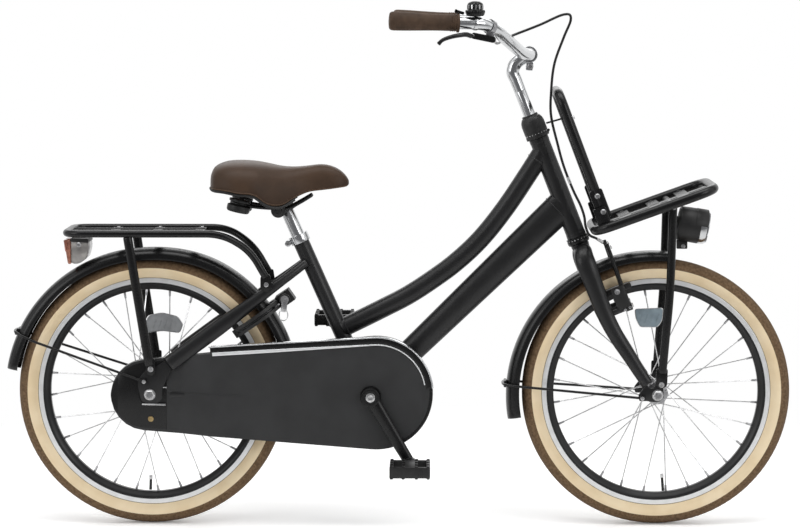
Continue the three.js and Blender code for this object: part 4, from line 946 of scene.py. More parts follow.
def guard_section(edge):
    """The sheet's section as [y, radius] points, with its rolled edges at a radius."""
    outer, inner = [], []
    for i in range(SECTION_STEPS + 1):
        angle = math.pi * i / SECTION_STEPS
        y = -GUARD_HALF * math.copysign(abs(math.cos(angle)) ** SPREAD_POWER, math.cos(angle))
        rise = max(1 - abs(y / GUARD_HALF) ** CROWN_POWER, 0) ** (1 / CROWN_POWER)
        outer.append((y, edge + (GUARD_TOP - edge) * rise))
        inner.append((y * 0.935, edge + (GUARD_TOP - GUARD_SHEET - edge) * rise))
    bead = [(GUARD_HALF - 0.3, edge - 0.6), (GUARD_HALF - 1.6, edge - 0.6)]
    return outer + bead + inner[::-1] + [(-y, r) for y, r in reversed(bead)]


def mudguard(centre, start, stop, edge_at, lift_at):
    """A sheet from one angle to another; its edge and its lift depend on the share of the way."""
    rings = []
    for share in np.r_[0, 0.002, 0.005, 0.009, np.linspace(0.014, 0.986, 90), 0.991, 0.995, 0.998, 1]:
        angle = math.radians(start + (stop - start) * share)
        near_end = min(min(share, 1 - share) / 0.012, 1)
        narrow = 0.7 + 0.3 * math.sqrt(1 - (1 - near_end) ** 2)
        rings.append([wheel_point(centre, r + lift_at(share), angle, y * narrow)
                      for y, r in guard_section(edge_at(share))])
    return skin(rings, gloss_black)


FRONT_GUARD, REAR_GUARD = (474, 0, 242), (-463, 0, 246)
piece("front_mudguard_sheet", [mudguard(FRONT_GUARD, 82, 189.3, lambda t: 256.5 - 9 * t, lambda t: 0)],
      "front_mudguard")
rear_lift = lambda t: 1.4 + 6 * (1 - eased(t, 0.38, 0.58))
piece("rear_mudguard_sheet", [mudguard(REAR_GUARD, -8, 170.2, lambda t: 251, rear_lift)], "rear_mudguard")


# %% Mudguard stays
def guard_stay(centre, degrees, eyelet):
    angle = math.radians(degrees)
    out = lambda r, y: wheel_point(centre, r, angle, y)
    half = [out(279, 12), out(276, 29), out(260, 36), out(236, 37.5), eyelet]
    bow = [(x, -y, z) for x, y, z in reversed(half)] + half
    shapes = [tube(bent_line(bow, 6), 2.4, gloss_black, 12)]
    ray = mid(math.cos(angle), math.sin(angle))
    shapes.append(block(out(274.5, 0), (5, 34, 13), gloss_black, -angle, 1, 2))
    shapes += hex_bolt(out(276.5, 0), ray, 4.4, 2.6)
    for side in (-1, 1):
        y = side * eyelet[1]
        shapes.append(rod((eyelet[0], y - side * 3.5, eyelet[2]), (eyelet[0], y + side * 2, eyelet[2]),
                          5.5, gloss_black, 20))
        shapes += socket_bolt((eyelet[0], y + side * 2, eyelet[2]), (0, side, 0), 3.8, 2.2)
    return shapes


piece("rear_mudguard_wires", guard_stay(REAR_GUARD, 155, (-470, 64, 275)), "rear_mudguard_stay")
piece("front_mudguard_wires", guard_stay(FRONT_GUARD, 175.2, (453, 62, 245)), "front_mudguard_stay")

# %% [markdown]
# ## Fork and headset
# The blades rake forward and thin out to the dropouts. A crown joins them below the
# headset, and a stud on each blade carries a brake arm.

# %% Fork
BLADE = [(342, 43, 512), (352, 46, 484), (366, 47.5, 446), (385.7, 49, 396), (405.2, 51, 359),
         (429.3, 53.5, 322), (453.4, 55, 284.7), (464, 55.5, 270)]
FORK_DROPOUT = [(452, 282), (468, 262), (476, 264), (478, 276), (486, 280), (493, 273), (492, 262),
                (494, 246), (486, 238), (474, 237), (462, 239), (448, 239), (446, 250), (455, 262),
                (447, 272)]
SHOULDER_SHARE = 0.19


def brake_pivot(side):
    """Where a brake arm turns on its stud."""
    return np.array([428, side * 40, 414.0])


def blade_size(t):
    """Fore and aft half size and side half size, from the middle of the crown to the dropout."""
    down = max((t - SHOULDER_SHARE) / (1 - SHOULDER_SHARE), 0)
    grown = eased(t, 0, SHOULDER_SHARE)
    return 15 + 3.5 * grown - 7.5 * down, 10.2 + 0.8 * grown - 3.5 * down


fork = [lathe([(0, -25), (15.5, -25), (17, -18), (17, -13.2), (0, -13.2)], 1, HEAD_LOW, STEER_UP,
              satin_black, 48, False),
        rod(head_at(-20), head_at(238), 12.7, satin_black, 32)]
for side in (-1, 1):
    shoulder = [head_at(-24.5), head_at(-24.5, 15), head_at(-27, 29), (345, 40.5, 503.5)]
    line = [tuple(point) for point in shoulder] + BLADE[1:]
    fork.append(tube(smooth_line(mirrored(line, side), 80), blade_size, satin_black, 24, soft=2.5,
                     facing=STEER_FORWARD))
    fork.append(side_plate(rounded(FORK_DROPOUT, 2.5), side, 53, 53 + DROPOUT_SHEET, satin_black, 0.6))
    pivot = brake_pivot(side)
    root = pivot - STEER_FORWARD * 46
    root[1] = side * 44
    fork.append(rod(root, pivot - STEER_FORWARD * 8, 6.5, satin_black, 20))
    fork.append(rod(pivot - STEER_FORWARD * 10, pivot + STEER_FORWARD * 7, 4, zinc, 16))
piece("fork_blades_and_crown", fork, "fork")

# %% Headset cover
cover = rounded([(20.6, 198.5), (22.2, 198.5), (22.2, 204), (21.4, 206), (22, 209), (22, 227), (20.6, 233),
                 (17.6, 238.6), (15, 240), (15, 243.6), (13.3, 243.6), (13.3, 219), (20.6, 213)], 1.2, 3)
notch = lambda k, j: -0.5 if cover[k][0] > 21.3 and cover[k][1] < 205 and j % 6 < 2 else 0
cover_tab = block(head_at(203) + STEER_FORWARD * 21.5, (4, 8, 9), black_plastic, HEAD_TILT, 0.8, 1)
piece("headset_bell_cover", [turned(cover, HEAD_LOW, STEER_UP, black_plastic, 72, True, notch), cover_tab]
      + dots(21.3, 206.8, 22), "headset_cover")

# %% [markdown]
# ## Stem and handlebar
# The chromed quill rises out of the headset and bends forward to a split clamp. The bar
# sweeps out, up and back to the grips in one smooth line.

# %% Stem
QUILL = 11.1
BAR_CENTRE = mid(242.5, 878.8)
barrel = rounded([(11.9, -21), (15.4, -21), (15.4, -3), (15.0, -2.2), (15.0, 2.2), (15.4, 3), (15.4, 21),
                  (11.9, 21)], 0.8, 3)
bend = [tuple(head_at(290)), tuple(head_at(312)), tuple(head_at(329)), (217.6, 0, 861), (227.5, 0, 870.5),
        (240, 0, 877.5)]
stem = [rod(head_at(150), head_at(292), QUILL, chrome, 40, soft=1.5),
        tube(smooth_line(bend, 40), lambda t: (QUILL + 1.9 * t,) * 2, chrome, 40, upright=True),
        turned(barrel, BAR_CENTRE, ACROSS, chrome, 56),
        block(BAR_CENTRE + (1.05, 0, -21), (13, 22, 18), chrome, 0.1, 1.2, 3)]
for side in (-1, 1):
    stem += hex_bolt(BAR_CENTRE + (2, side * 11, -22), (0, side, 0), 5.2, 3.6)
for i in range(5):
    y = -16 + i * 2.4
    stem.append(turned([(15.2, y), (15.55, y + 0.5), (15.2, y + 1)], BAR_CENTRE, ACROSS, dull_steel,
                       56, False))
piece("stem_and_quill", stem, "stem")

# %% Handlebar
BAR_TUBE = 11.1
BAR_HALF = [(242.5, -24, 878.8), (241.5, -36, 879), (227.5, -78, 883.6), (209.3, -134, 898.4),
            (191.6, -184, 913.6), (174.7, -216, 927.2), (152.7, -236, 936.8), (113.3, -246, 939),
            (60, -253, 940.5), (-6, -260, 943)]
BAR = smooth_line(BAR_HALF[::-1] + mirrored(BAR_HALF, -1), 240)
piece("handlebar_tube", [tube(BAR, BAR_TUBE, chrome, 32)], "handlebar")


def bar_at(x):
    """The bar's middle and direction where its right half passes a value of X."""
    half = BAR[:120]
    i = int(np.argmax(half[:, 0] > x))
    return half[i], unit(half[i + 1] - half[i - 1])


# %% [markdown]
# The grips are moulded rubber with fine bands. Each band is one tooth of the turned outline,
# and a flange stops the hand at the inner end.

# %% Grips
def grip(side):
    inner = np.array([110.9, side * 246.3, 939.1])
    outer = np.array([-12.5, side * 260.7, 943.2])
    reach = np.linalg.norm(outer - inner)
    outline = [(13.9, -0.2), (16.4, 0), (16.9, 1), (16.9, 3.4), (16.2, 4.2), (14.6, 4.8)]
    for at in (6.5, 10, 13.5):
        outline += [(14.5, at), (15.3, at + 0.8), (15.3, at + 1.9), (14.5, at + 2.6)]
    start, bands = 18.0, 34
    pitch = (reach - 9 - start) / bands
    for i in range(bands):
        at = start + i * pitch
        full = 14.35 + 2.2 * eased((at - start) / (reach - start), 0.1, 0.9)
        outline += [(full, at), (full + 0.28, at + pitch * 0.3), (full + 0.28, at + pitch * 0.75)]
    outline += [(16.7, reach - 8.5), (16.5, reach - 5.4), (15.6, reach - 2.6), (13.4, reach - 0.8),
                (9, reach - 0.1), (0, reach)]
    return turned(outline, inner, outer - inner, grip_rubber, 48, False)


piece("grip_right_rubber", [grip(-1)], "grip_right")
piece("grip_left_rubber", [grip(1)], "grip_left")

# %% [markdown]
# ## Bell, brake lever and cable
# The bell has a ribbed skirt and a smaller cap with upright slots. A thumb lever rings it.
# The brake lever hangs below the bar on a clamp with a pivot screw, and its cable makes a
# wide loop over the front before it dives behind the carrier to the brake.

# %% Bell
bell_foot, bell_way = bar_at(139)
BELL = bell_foot + (0, 0, 12.4)
BELL[0], BELL[1] = 139.37, -240.9
bell_outline = [(0, 0), (12.9, 0), (14.8, 1.2), (16.3, 3.5), (17.3, 6.5), (17.6, 8.4), (17.4, 10), (16.8, 11),
                (14.9, 11.8), (14.2, 12.6), (14.5, 13.4), (14.5, 18), (14.1, 20.6), (12.5, 23.4), (10, 25.4),
                (7, 26.6), (3.5, 27), (0, 27)]


def bell_ribs(k, j):
    radius, height = bell_outline[k][:2]
    if 3 < height < 11:
        return -0.55 if j % 4 < 2 else 0
    if 13 < height < 21:
        return -0.8 if j % 8 < 3 else 0
    return 0


def band(at, way, width, outer, material):
    outline = rounded([(11.3, -width / 2), (outer, -width / 2), (outer, width / 2), (11.3, width / 2)],
                      0.8, 3)
    return turned(outline, at, way, material, 40)


bell = [turned(bell_outline, BELL, (0, 0, 1), gloss_black, 96, False, bell_ribs),
        band(bell_foot, bell_way, 7, 12.4, chrome),
        turned([(0, 13.2), (13.95, 13.2), (13.95, 20.6), (0, 20.6)], BELL, (0, 0, 1), zinc, 64, False)]
piece("bell_and_band", bell, "bell")
thumb = [block((111.6, -247, 958.2), (17, 9, 5.6), gloss_black, 0.3, 1, 1.8),
         block((105.2, -247, 960.2), (4.4, 9, 6.6), gloss_black, 0.3, 1, 1.8)]
piece("bell_thumb_tab", thumb, "bell_lever")

# %% Brake lever and bracket
lever_foot, lever_way = bar_at(166)
LEVER = smooth_line([(132, -245.5, 916.5), (123, -257, 919), (112, -265, 918), (95, -270, 914.5),
                     (81, -270.5, 909), (74, -270.5, 902)], 50)


def lever_size(t):
    """Slim in the middle of the blade, with a rounder tip that stops the finger."""
    tip = eased(t, 0.88, 1.0)
    return 4.6 - 1.4 * t + 0.6 * tip, 6.4 - 1.4 * t + 0.4 * tip


piece("brake_lever_blade", [tube(LEVER, lever_size, gloss_black, 20, upright=True, soft=1.4)],
      "brake_lever")
bracket = [block((154, -236, 913.2), (44, 13, 11.5), gloss_black, 0.2, 1.5, 5),
           block((166, -231, 918), (15, 9, 12), dull_steel, 0.2, 1, 3),
           band(lever_foot, lever_way, 9, 13.6, dull_steel)]
bracket += socket_bolt((134, -242.3, 917.4), (0, -1, 0), 3.6, 2.2)
bracket.append(rod((168, -230.5, 910.2), (175, -225.5, 909), 3.6, zinc, 16))
piece("brake_lever_clamp", bracket, "brake_lever_bracket")

# %% Brake cable
CABLE = [(172, -228.8, 909.5), (173, -222, 908.5), (175, -205, 905.5), (178, -180, 902.5),
         (183, -150, 902.5), (192, -124, 908), (209, -111, 915.2), (258, -104, 934.2), (302, -100, 953),
         (313, -98, 952.5), (315, -96, 944), (303, -88, 912), (286.6, -74, 863), (281.4, -62, 811.8),
         (281.7, -54, 768.8), (294, -50, 716.4), (306.2, -50, 673.3), (324.9, -47, 626.9),
         (337.4, -42, 601.9), (345, -35, 580), (348, -31, 561), (355, -28, 545.5), (369, -26, 538.5),
         (383, -25, 529.5)]
cable_line = smooth_line(CABLE, 220)
cable = [tube(cable_line, 2.4, cable_cover, 14)]
for i in (3, 172, 214):
    cable.append(tube(cable_line[i:i + 5], 2.9, zinc, 14, soft=0.5))
piece("brake_cable_cover", cable, "brake_cable")

# %% [markdown]
# The brake arms stand in front of the fork on studs, and a rubber pad on each reaches for
# the rim. They turn a little when the lever is pulled, so each arm with its pad is a piece.

# %% Brake arms
PAD_ANGLE = -math.atan2(STEER_FORWARD[2], STEER_FORWARD[0])
for side, hand in SIDES:
    pivot = brake_pivot(side)
    low, high = pivot - STEER_UP * 7, np.array([386.5, side * 42, 530.0])
    pad = pivot + STEER_UP * 34 - STEER_FORWARD * 8
    pad[1] = side * 21.3
    boss = rounded([(4.7, -7), (8.5, -7), (8.5, 6), (4.7, 6)], 1, 3)
    arm = [tube(even([low, high], 12), lambda t: (5.4 - 1.9 * t, 7.5 - 3.2 * t), gloss_black, 18,
                upright=True, soft=1.2),
           block((413, side * 44, 431), (25, 10, 42), black_plastic, -HEAD_TILT, 1.5, 5),
           turned(boss, pivot, STEER_FORWARD, gloss_black, 28),
           block(pad, (54, 11, 10), black_plastic, PAD_ANGLE, 1.5, 3),
           rod(np.array([pad[0], side * 24, pad[2]]), np.array([pad[0], side * 46, pad[2]]), 5,
               dull_steel, 18)]
    arm += hex_bolt(pivot + STEER_FORWARD * 6, STEER_FORWARD, 5, 3)
    arm += socket_bolt(high - STEER_UP * 8 + STEER_FORWARD * 4, STEER_FORWARD, 3.4, 2.4)
    arm += hex_bolt((pad[0] - 2, side * 49, pad[2] - 1), (0, side, 0), 4.6, 3.4)
    arm += socket_bolt((421, side * 49, 408), (0, side, 0), 2.6, 1.8)
    arm += socket_bolt((430, side * 47, 413), (0, side, 0), 2.6, 1.8)
    piece("brake_arm_" + hand + "_set", arm, "brake_arm_" + hand)

# %% [markdown]
# ## Front carrier
# The carrier is a looped tube with three slats and a runner, tilted up at the front. It
# stands on two legs from the axle, and a tall bow bolted to its rear keeps a load off the
# head tube.

# %% Platform and legs
CARRIER_TUBE = 9


def slat(centre, forward, up, half, reach):
    """A flat bar across a carrier, half as deep fore and aft, reaching out to both sides."""
    outline = rounded([(-half, -1.5), (half, -1.5), (half, 1.5), (-half, 1.5)], 1.0, 3)
    return slab(outline, centre, forward, up, ACROSS, -reach, reach, gloss_black, 0.5)


DECK_REAR = mid(364, 557.5)
DECK_TILT = 0.347
DECK_FORWARD = mid(math.cos(DECK_TILT), math.sin(DECK_TILT))
DECK_UP = mid(-math.sin(DECK_TILT), math.cos(DECK_TILT))
DECK_LENGTH, DECK_HALF = 230, 100


def deck_at(forward, y, up=0.0):
    return DECK_REAR + DECK_FORWARD * forward + DECK_UP * up + (0, y, 0)


loop = [deck_at(0, -DECK_HALF), deck_at(0, DECK_HALF), deck_at(DECK_LENGTH, DECK_HALF),
        deck_at(DECK_LENGTH, -DECK_HALF)]
carrier = [tube(bent_line(loop, 38, True, 10), CARRIER_TUBE, gloss_black, 24, closed=True),
           block(deck_at(DECK_LENGTH / 2, 0), (DECK_LENGTH - 14, 22, 3), gloss_black, -DECK_TILT, 0.6),
           rod((505.5, -93, 603), (505.5, 93, 603), 7, gloss_black, 24),
           block((509, 0, 573), (3, 24, 62), gloss_black, 0, 0.6, 3)]
for at in (62, 120, 176):
    carrier.append(slat(deck_at(at, 0), DECK_FORWARD, DECK_UP, 11, 98))
    for side in (-1, 1):
        carrier += socket_bolt(deck_at(at, side * 84, 1.4), DECK_UP, 3.4, 1.4, gloss_black)
LEG_TAB = [(478.5, 300), (500, 300), (499, 268), (488, 261), (478, 268)]
for side in (-1, 1):
    leg = [(505.7, 76, 604), (501, 74, 440), (494, 69, 350), (489.5, 64.5, 292)]
    carrier.append(tube(smooth_line(mirrored(leg, side), 50), lambda t: (7.7, 7 - 2 * t * t), gloss_black,
                        22, upright=True, soft=2))
    carrier.append(side_plate(rounded(LEG_TAB, 4), side, 58.2, 62.2, gloss_black))
    carrier.append(block(deck_at(19, side * 90, 20), (24, 5.4, 38), gloss_black, -DECK_TILT, 0.8, 4))
    carrier += hex_bolt((488.5, side * 62.4, 270), (0, side, 0), 4.6, 3.2)
    carrier += hex_bolt((505.5, side * 93, 603), (0, side, 0), 5, 2.6)
piece("front_carrier_platform", carrier, "front_carrier")

# %% Backrest bow
HOOP_HALF = 78
HOOP_FOOT, HOOP_TOP = mid(378, 590.0), mid(294.5, 810.0)
HOOP_UP = unit(HOOP_TOP - HOOP_FOOT)
bow = [HOOP_FOOT + (0, -HOOP_HALF, 0), HOOP_TOP + (0, -HOOP_HALF, 0), HOOP_TOP + (0, HOOP_HALF, 0),
       HOOP_FOOT + (0, HOOP_HALF, 0)]
bar_centre = HOOP_FOOT + HOOP_UP * 184
strut_foot = head_at(218) + STEER_FORWARD * 23.4
hoop = [tube(bent_line(bow, 34, False, 12), CARRIER_TUBE, gloss_black, 24),
        rod(bar_centre - (0, HOOP_HALF, 0), bar_centre + (0, HOOP_HALF, 0), 5, gloss_black, 20),
        rod(strut_foot, bar_centre, 1.8, gloss_black, 16)]
for side in (-1, 1):
    tilt = math.atan2(HOOP_UP[0], HOOP_UP[2])
    hoop.append(block(HOOP_FOOT + HOOP_UP * 18 + (0, side * 84, 0), (25, 5, 56), gloss_black, tilt,
                      0.8, 5))
    for at, y in ((4, 92.8), (34, 86.5)):
        hoop += hex_bolt(HOOP_FOOT + HOOP_UP * at + (0, side * y, 0), (0, side, 0), 4.6, 3)
    ahead = mid(HOOP_UP[2], -HOOP_UP[0])
    hoop += hex_bolt(bar_centre + ahead * 8.4 + (0, side * HOOP_HALF, 0), ahead, 4.2, 3.4)
piece("front_carrier_bow", hoop, "front_carrier_backrest")

# %% [markdown]
# ## Headlight
# A black drum with a bright ring and a clear lens. Glass looks like glass only when there is
# something behind it, so a bowl of polished metal and a small bulb sit inside the drum.

# %% Headlight
LAMP_SLOPE = 0.168
LAMP_AIM = unit((1, 0, -LAMP_SLOPE))
LAMP_BACK = mid(513, 567.6)
drum = rounded([(0, 0), (12, 0), (12, 8), (29, 8), (31.6, 11), (32.5, 26), (32.5, 49), (30.6, 49), (29, 44),
                (0, 44)], 1.8, 4, False)
bowl = [(29.6, 48.4), (27, 44.4), (20, 38), (11, 33.4), (4, 32.6), (0, 32.6)]
lamp = [turned(drum, LAMP_BACK, LAMP_AIM, black_plastic, 64, False)]
hood = turned([(32.3, 38), (33.1, 39), (33.1, 60.4), (32.4, 61.4), (31.2, 61.4), (32.3, 50)], LAMP_BACK,
              LAMP_AIM, black_plastic, 72)
upper = [i for i, face in enumerate(hood[1])
         if np.mean([hood[0][j][2] - LAMP_BACK[2] + LAMP_SLOPE * (hood[0][j][0] - LAMP_BACK[0])
                     for j in face]) > 3]
lamp.append((hood[0], [hood[1][i] for i in upper], [hood[2][i] for i in upper]))
lamp.append(block((529, 0, 526), (20, 8, 17), black_plastic, 0, 1, 2))
lamp += hex_bolt((531, -4, 522.5), (0, -1, 0), 3.6, 2.4)
lamp += hex_bolt(LAMP_BACK + (-4.4, 0, 18), (-1, 0, 0), 4.4, 3)
piece("headlight_drum", lamp, "headlight_housing")
lens = rounded([(0, 58.4), (20, 57.6), (30.2, 54), (31, 54), (31.6, 52), (32.2, 49.4), (30.4, 49.4), (28, 52),
                (18, 55.4), (0, 56)], 0.8, 3, False)
ring = rounded([(30.4, 49.3), (32.5, 49.3), (32.2, 56), (31, 61.2), (29.4, 61.4), (29.8, 56)], 0.8, 3)
flutes = lambda k, j: 0.35 if lens[k][1] > 53 and 2 < lens[k][0] < 29 and j % 4 < 2 else 0
light = [turned(lens, LAMP_BACK, LAMP_AIM, clear_lens, 96, False, flutes),
         turned(ring, LAMP_BACK, LAMP_AIM, chrome, 64),
         turned([(r, h + 15.9) for r, h in bowl], LAMP_BACK, LAMP_AIM, lamp_mirror, 48, False),
         rod(LAMP_BACK + LAMP_AIM * 49, LAMP_BACK + LAMP_AIM * 54, 2.6, zinc, 14)]
piece("headlight_front", light, "headlight_lens")

# %% [markdown]
# ## Rear carrier and tail light
# One long tube makes the loop and bends down at the front to the seat stays. Two legs stand
# on the dropouts. The tail light hangs below the rear bow.

# %% Rear carrier
DECK_Z, DECK_END, DECK_OUT = 550.5, -613, 75
half = [(-244, 53, 468), (-272, 53, 517), (-322, DECK_OUT, DECK_Z), (DECK_END, DECK_OUT, DECK_Z)]
rear_loop = mirrored(half, -1) + half[::-1]
rear = [tube(bent_line(rear_loop, 34, False, 12), 6.7, gloss_black, 22)]
for x in (-528, -449, -370):
    rear.append(slat((x, 0, DECK_Z), (1, 0, 0), (0, 0, 1), 9, DECK_OUT - 2))
    for side in (-1, 1):
        rear += socket_bolt((x, side * 62, DECK_Z + 1.4), (0, 0, 1), 3.2, 1.4)
for y in (-22, 22):
    rear.append(rod((DECK_END, y, DECK_Z), (-362, y, DECK_Z), 3.5, gloss_black, 16))
rear.append(block((-597, 0, 541.5), (34, 26, 4), gloss_black, 0, 0.6, 1.5))
rear.append(block((DECK_END, 0, 542), (6, 26, 5), gloss_black, 0, 0.6, 1.5))
REAR_TAB = [(-468, 318), (-449, 318), (-449, 290), (-457, 285), (-466, 290)]
FRONT_TAB = [(-254, 470), (-236, 474), (-232, 448), (-242, 440), (-254, 446)]
for side in (-1, 1):
    rear.append(tube(even(mirrored([(-497, 74, 545), (-460, 65, 305)], side), 16),
                     lambda t: (8.5, 7 - 2 * t), gloss_black, 22, upright=True, soft=2))
    rear.append(side_plate(rounded(REAR_TAB, 4), side, 60.4, 64.4, gloss_black))
    rear.append(side_plate(rounded(FRONT_TAB, 4), side, 50.8, 54.8, gloss_black))
    rear += hex_bolt((-457.5, side * 64.6, 298), (0, side, 0), 4.6, 3)
    rear += socket_bolt((-243, side * 54.8, 455), (0, side, 0), 4.6, 2.6)
piece("rear_carrier_rails", rear, "rear_carrier")

# %% Tail light
body_outline = rounded([(-607, 538), (-576, 538), (-574, 520), (-579, 500), (-592, 491), (-607, 491)], 6)
lens_outline = rounded([(-621, 536), (-607.4, 536), (-607.4, 490), (-613, 491), (-616, 510)], 3)
tail_top = rounded([(-608, 538.4), (-575, 538.4), (-574, 530), (-608, 532)], 2)
tail = [plate(body_outline, -33.6, 33.6, smoky_lens, 3), plate(tail_top, -34.4, 34.4, black_plastic, 1),
        rod((-599, -20, 512), (-599, 20, 512), 8, lamp_mirror, 20),
        rod((-588, -26, 516), (-588, 26, 516), 6, black_plastic, 16)]
for side in (-1, 1):
    tail += hex_bolt((-592, side * 34, 527), (0, side, 0), 4.2, 2.4)
piece("tail_light_case", tail, "tail_light_housing")
tail_front = [plate(lens_outline, -34, 34, tail_lens, 2)]
for y in range(-28, 29, 8):
    tail_front.append(rod((-617.4, y, 514), (-620, y, 534), 1.0, red_reflector, 8))
piece("tail_light_glass", tail_front, "tail_light_lens")

# %% [markdown]
# ## Ring lock
# A horseshoe case round the rear wheel, with a round steel shackle that slides through it
# when the key is turned. The case keeps the shape of its solid; the key, its ring and the
# lock cylinder are added.

# %% Ring lock
dressed("ring_lock_case", black_plastic, 1.2)
dressed("ring_lock_shackle", dull_steel, 0.4)
LOCK_ANGLE = math.radians(35)
LOCK_UP = mid(math.cos(LOCK_ANGLE), math.sin(LOCK_ANGLE))
lock_middle = AXLES["rear"] + LOCK_UP * 238
cylinder = lock_middle + LOCK_UP * 67 + (0, -21, 0)
barrel = [(0, 0), (10.5, 0), (10.5, 9), (9.4, 9.4), (9.4, 10.6), (10.5, 11), (10.5, 16), (0, 16)]
plug = [(0, 16), (7.6, 16), (7.6, 17), (0, 17)]
lock = [lathe(barrel, 0.6, cylinder + (0, 2, 0), (0, -1, 0), black_plastic, 40, False),
        turned(plug, cylinder + (0, 2, 0), (0, -1, 0), zinc, 32, False)]
key_top = cylinder + (0, -15.5, 0)
lock.append(block(key_top + (-1, -1.5, -13), (11, 2.4, 20), zinc, 0.12, 0.5, 4))
key_ring = [key_top + (-2 + 8 * math.cos(angle), -2, -28 + 11 * math.sin(angle))
            for angle in np.arange(28) / 28 * TURN]
lock.append(tube(key_ring, 0.9, zinc, 8, closed=True))
piece("ring_lock_cylinder_and_key", lock, (), "frame")

# %% [markdown]
# ## Cranks and pedals
# The crank is a flat forged arm between two bosses. The pedal is a moulded block with two
# windows, and its corners stand up to hold the shoe.

# %% Cranks
CRANK_LENGTH, CRANK_OUT, BOSS_FROM = 144, 74.5, 68
CRANK_ANGLE = math.radians(30.7)
crank_way = mid(math.sin(CRANK_ANGLE), -math.cos(CRANK_ANGLE))


def crank_eye(side):
    """Where a crank's pedal axle stands; the right crank points down and forward."""
    return BRACKET - crank_way * CRANK_LENGTH * side


def crank(side):
    """A flat arm with a hub, a boss for the pedal axle and that axle."""
    eye = crank_eye(side)
    out = (0, side, 0)
    y = np.array([0, side * CRANK_OUT, 0])
    hub = [(0, BOSS_FROM), (17, BOSS_FROM), (17, 84), (11, 84), (10, 82.6), (0, 82.6)]
    boss = [(0, BOSS_FROM), (12, BOSS_FROM), (12, 83), (0, 83)]
    cap = [(0, 82), (8.6, 82), (8.6, 83.6), (5, 84.2), (4.6, 83), (0, 83)]
    shapes = [tube(even([BRACKET + y, eye + y], 20), lambda t: (13 - 3 * t, 6), gloss_black, 24,
                   upright=True, soft=1),
              lathe(hub, 1.2, BRACKET, out, gloss_black, 40, False, steps=4),
              lathe(boss, 1.2, eye, out, gloss_black, 32, False, steps=4),
              rod(eye + (0, side * 74, 0), eye + (0, side * 174, 0), 4.5, dull_steel, 18),
              lathe(cap, 0.3, BRACKET, out, zinc, 32, False)]
    return shapes


right_crank = crank(-1) + [rod(BRACKET + (0, -72, 0), BRACKET + (0, 70, 0), 8.5, dull_steel, 28)]
piece("crank_right_arm", right_crank, "crank_right")
piece("crank_left_arm", crank(1), "crank_left")


# %% Pedals
PEDAL_OUT, PEDAL_WIDTH = 136, 86


def pedal(side):
    """A moulded block with two windows, raised corners and ribs on its outer end."""
    middle = crank_eye(side) + (0, side * PEDAL_OUT, 0)
    at = lambda x, y, z: middle + (x, side * y, z)
    shapes = [block(at(x, 0, 0), (7, PEDAL_WIDTH, 21), black_plastic, 0, 1.2, 2.5) for x in (-33.5, 33.5)]
    shapes.append(block(at(0, 0, 0), (27, PEDAL_WIDTH, 18), black_plastic, 0, 1.2, 4))
    shapes += [block(at(0, y, 0), (72, 9, 20), black_plastic, 0, 1.4, 4) for y in (39.4, -39.4)]
    for x in (-33.4, -12, 12, 33.4):
        for y in (-39, -13, 13, 39):
            for z in (-1, 1):
                shapes.append(block(at(x, y, z * 10.6), (5.6, 7.6, 2.8), black_plastic, 0, 0.8, 1))
    for x in (-24, -16, -8, 8, 16, 24):
        shapes.append(block(at(x, 43.4, 0), (2.2, 1.2, 13), black_plastic, 0, 0.3, 0.6))
    shapes.append(lathe([(0, 40), (7.4, 40), (7.4, 44), (0, 44)], 0.8, middle, (0, side, 0), black_plastic,
                        28, False))
    return shapes


piece("pedal_right_body", pedal(-1), "pedal_right")
piece("pedal_left_body", pedal(1), "pedal_left")

# %% [markdown]
# ## Drive and chain case
# The case hides the chain, so its outline is that of a belt round two circles. The front
# is a grained charcoal panel, which steps in at the rear; the rear end is a separate gloss
# piece. Two bright lines with a black groove between them run along the top edge.

# %% Belt outline
CASE_REAR, CASE_REAR_R = (-467, 248), 66
CASE_FRONT, CASE_FRONT_R = (-39.4, 253), 104.6
CASE_CENTRE = (CASE_FRONT[0], 0, CASE_FRONT[1])


def belt(grow=0.0, steps=40):
    """The outline round the case's two circles, anticlockwise from below the front one."""
    dx, dz = CASE_FRONT[0] - CASE_REAR[0], CASE_FRONT[1] - CASE_REAR[1]
    lean = math.asin((CASE_FRONT_R - CASE_REAR_R) / math.hypot(dx, dz))
    tilt = math.atan2(dz, dx)
    points = []
    for centre, radius, start, stop in (
            (CASE_FRONT, CASE_FRONT_R + grow, tilt - math.pi / 2 - lean, tilt + math.pi / 2 + lean),
            (CASE_REAR, CASE_REAR_R + grow, tilt + math.pi / 2 + lean, tilt + 3 * math.pi / 2 - lean)):
        for angle in np.linspace(start, stop, steps + 1):
            points.append((centre[0] + radius * math.cos(angle), centre[1] + radius * math.sin(angle)))
    return points


# %% Chain case
CASE_FACE, CASE_REAR_FACE, CASE_BACK = -64.6, -54.3, -34.0
STEP_FRONT, STEP_REAR, CAP_FRONT = -345.0, -400.0, -429.0
CASE_WALL, CASE_STEPS = 1.2, 120


def face_at(x):
    """How far out the case's face stands: it steps in at the rear, inside the dropout."""
    share = min(max((STEP_FRONT - x) / (STEP_FRONT - STEP_REAR), 0), 1)
    return CASE_FACE + (CASE_REAR_FACE - CASE_FACE) * share


def heights_at(x, outline):
    """The lowest and highest point of the outline on an upright line."""
    found = []
    for i, here in enumerate(outline):
        before = outline[i - 1]
        if (here[0] - x) * (before[0] - x) <= 0 and here[0] != before[0]:
            found.append(before[1] + (x - before[0]) / (here[0] - before[0]) * (here[1] - before[1]))
    return min(found), max(found)


